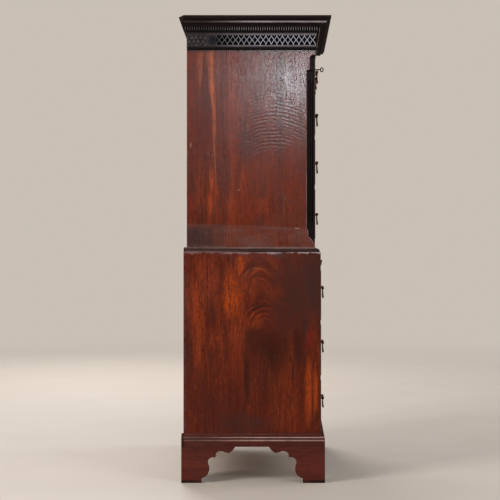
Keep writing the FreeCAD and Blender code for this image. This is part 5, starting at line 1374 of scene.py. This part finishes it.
def dress(skins):
    """Lays every piece of the chest over the carried-over nodes; the lengths given are the eases."""
    eased("upper_side_panels", 0.0008, [skins["upper_side"], skins["cant"]], choose=cant_skin,
          where=outer_arris)
    eased("upper_corner_posts", 0.0005, [skins["post"], skins["cant"]], choose=cant_skin,
          where=lambda edge: False)
    eased("lower_side_panels", 0.0014, skins["lower_side"], rub_and_highlight=near_level(0.937, elsewhere=0.25))
    for node in ("upper_drawer_rails", "lower_drawer_rails"):
        eased(node, 0.0006, skins["rail"])
    eased("waist_moulding", 0.0009, skins["waist"], rub_and_highlight=near_level(0.9585, reach=0.002, elsewhere=0.1))
    eased("base_moulding", 0.0010, skins["moulding"], rub_and_highlight=near_level(0.187, 0.174, elsewhere=0.1))
    eased("bracket_feet", 0.0011, skins["foot"], rub_and_highlight=lambda place: 0.3)
    eased("cornice_moulding", 0.0007, [skins["cornice"], skins["shaded_fret_ground"]],
          choose=level_skin(1.8425, 1.8645), rub_and_highlight=near_level(1.8785, elsewhere=0.3))
    eased("frieze_boards", 0.0006, [skins["frieze"], skins["shaded_fret_ground"]],
          choose=level_skin(1.7875, 1.827), rub_and_highlight=near_level(1.7785, 1.828))
    eased("brushing_slide", 0.0007, skins["rail"], body="brushing_slide")
    for drawer in DRAWERS:
        eased(f"{drawer}_drawer_front", 0.0006, skins["front"], body=f"{drawer}_drawer")
        face = front_face(drawer)
        eased(f"{drawer}_drawer_hardware", 0.0003, skins["brass"], body=f"{drawer}_drawer",
              keep=lambda low, high: low.y > face - 1.5 * MM, name=f"{drawer}_lock_and_keyhole")
        handles(drawer, skins["brass"])
        for side in HANDLE_SIDES:
            bail(drawer, side, skins["brass"])
    key_piece(skins["iron"])
    slide_knobs(skins["brass"])
    frieze_ornament([skins["fret"], skins["carving"], skins["boss"], skins["frieze"]])
    cornice_drops(skins["drops"])
    for skin, nodes in BARE_NODES.items():
        for mesh in [NODES[node].data for node in nodes]:
            mesh.materials.clear()
            mesh.materials.append(skins[skin])


FLOOR_RADIUS, FLOOR_FADE, FLOOR_END = 9.0, 2.0, 8.0  # the floor is whole up to FADE and gone at END


def studio():
    """A pale floor that fades into a pale room, two small window lamps at the left, and soft lamps from the
    rear left, the front and the far side.
    """
    bpy.ops.mesh.primitive_circle_add(vertices=96, radius=FLOOR_RADIUS, fill_type="NGON")
    floor = bpy.context.object
    floor.name = "floor"
    finish, tree, shader = new_finish("pale_floor")
    place = object_place(tree)
    mottle = cloud(tree, place, 3.0, 5.0)
    mottled = tint(tree, mottle, shade(198, 186, 174), shade(206, 195, 184))
    tree.links.new(mottled, shader.inputs["Base Color"])
    shader.inputs["Roughness"].default_value = 0.7
    reach = put(tree, "ShaderNodeVectorMath", {0: place}, operation="LENGTH").outputs["Value"]
    clear = put(tree, "ShaderNodeBsdfTransparent").outputs[0]
    away = ranged(tree, reach, FLOOR_FADE, FLOOR_END)
    fade = put(tree, "ShaderNodeMixShader", {0: away, 1: shader.outputs[0], 2: clear})
    tree.links.new(fade.outputs[0], tree.nodes["Material Output"].inputs["Surface"])
    floor.data.materials.append(finish)

    world = bpy.data.worlds.new("room")
    world.use_nodes = True
    bpy.context.scene.world = world
    tree = world.node_tree
    lit = tree.nodes["Background"]
    lit.inputs["Color"].default_value = (0.98, 0.99, 1.0, 1)
    lit.inputs["Strength"].default_value = 0.30
    seen = put(tree, "ShaderNodeBackground", {"Color": shade(202, 192, 181), "Strength": 1.0})
    path = put(tree, "ShaderNodeLightPath").outputs
    share = reckon(tree, "MAXIMUM", path["Is Camera Ray"], path["Is Transmission Ray"])
    share = reckon(tree, "MAXIMUM", share, path["Is Glossy Ray"])
    mixed = put(tree, "ShaderNodeMixShader", {0: share, 1: lit.outputs[0], 2: seen.outputs[0]})
    tree.links.new(mixed.outputs[0], tree.nodes["World Output"].inputs["Surface"])

    lamp("window", (-7.0, -0.189, 2.334), (-0.5, -0.189, 2.334), 0.112, 0.118, 38, (0.76, 0.92, 1.0))
    lamp("window_bars", (-7.0, -0.143, 2.416), (-0.5, -0.143, 2.416), 1.52, 0.15, 17, (0.80, 0.94, 1.0))
    lamp("front_left", (-5.0, -4.2, 3.2), (-0.5, -0.1, 1.1), 2.4, 2.4, 120, (0.95, 0.98, 1.0))
    lamp("rear_left", (-4.2, 4.6, 3.4), (-0.4, 0.2, 0.9), 2.4, 2.4, 270, (1.0, 0.96, 0.91))
    lamp("front_fill", (1.6, -6.2, 3.2), (0.0, -0.2, 0.9), 3.0, 2.4, 120, (0.97, 0.98, 1.0))
    lamp("far_side", (5.5, 1.8, 3.4), (0.4, 0.0, 0.9), 2.4, 2.4, 190, (1.0, 0.98, 0.96))


camera()
studio()
dress(finishes())
bpy.context.scene.view_settings.view_transform = "Standard"
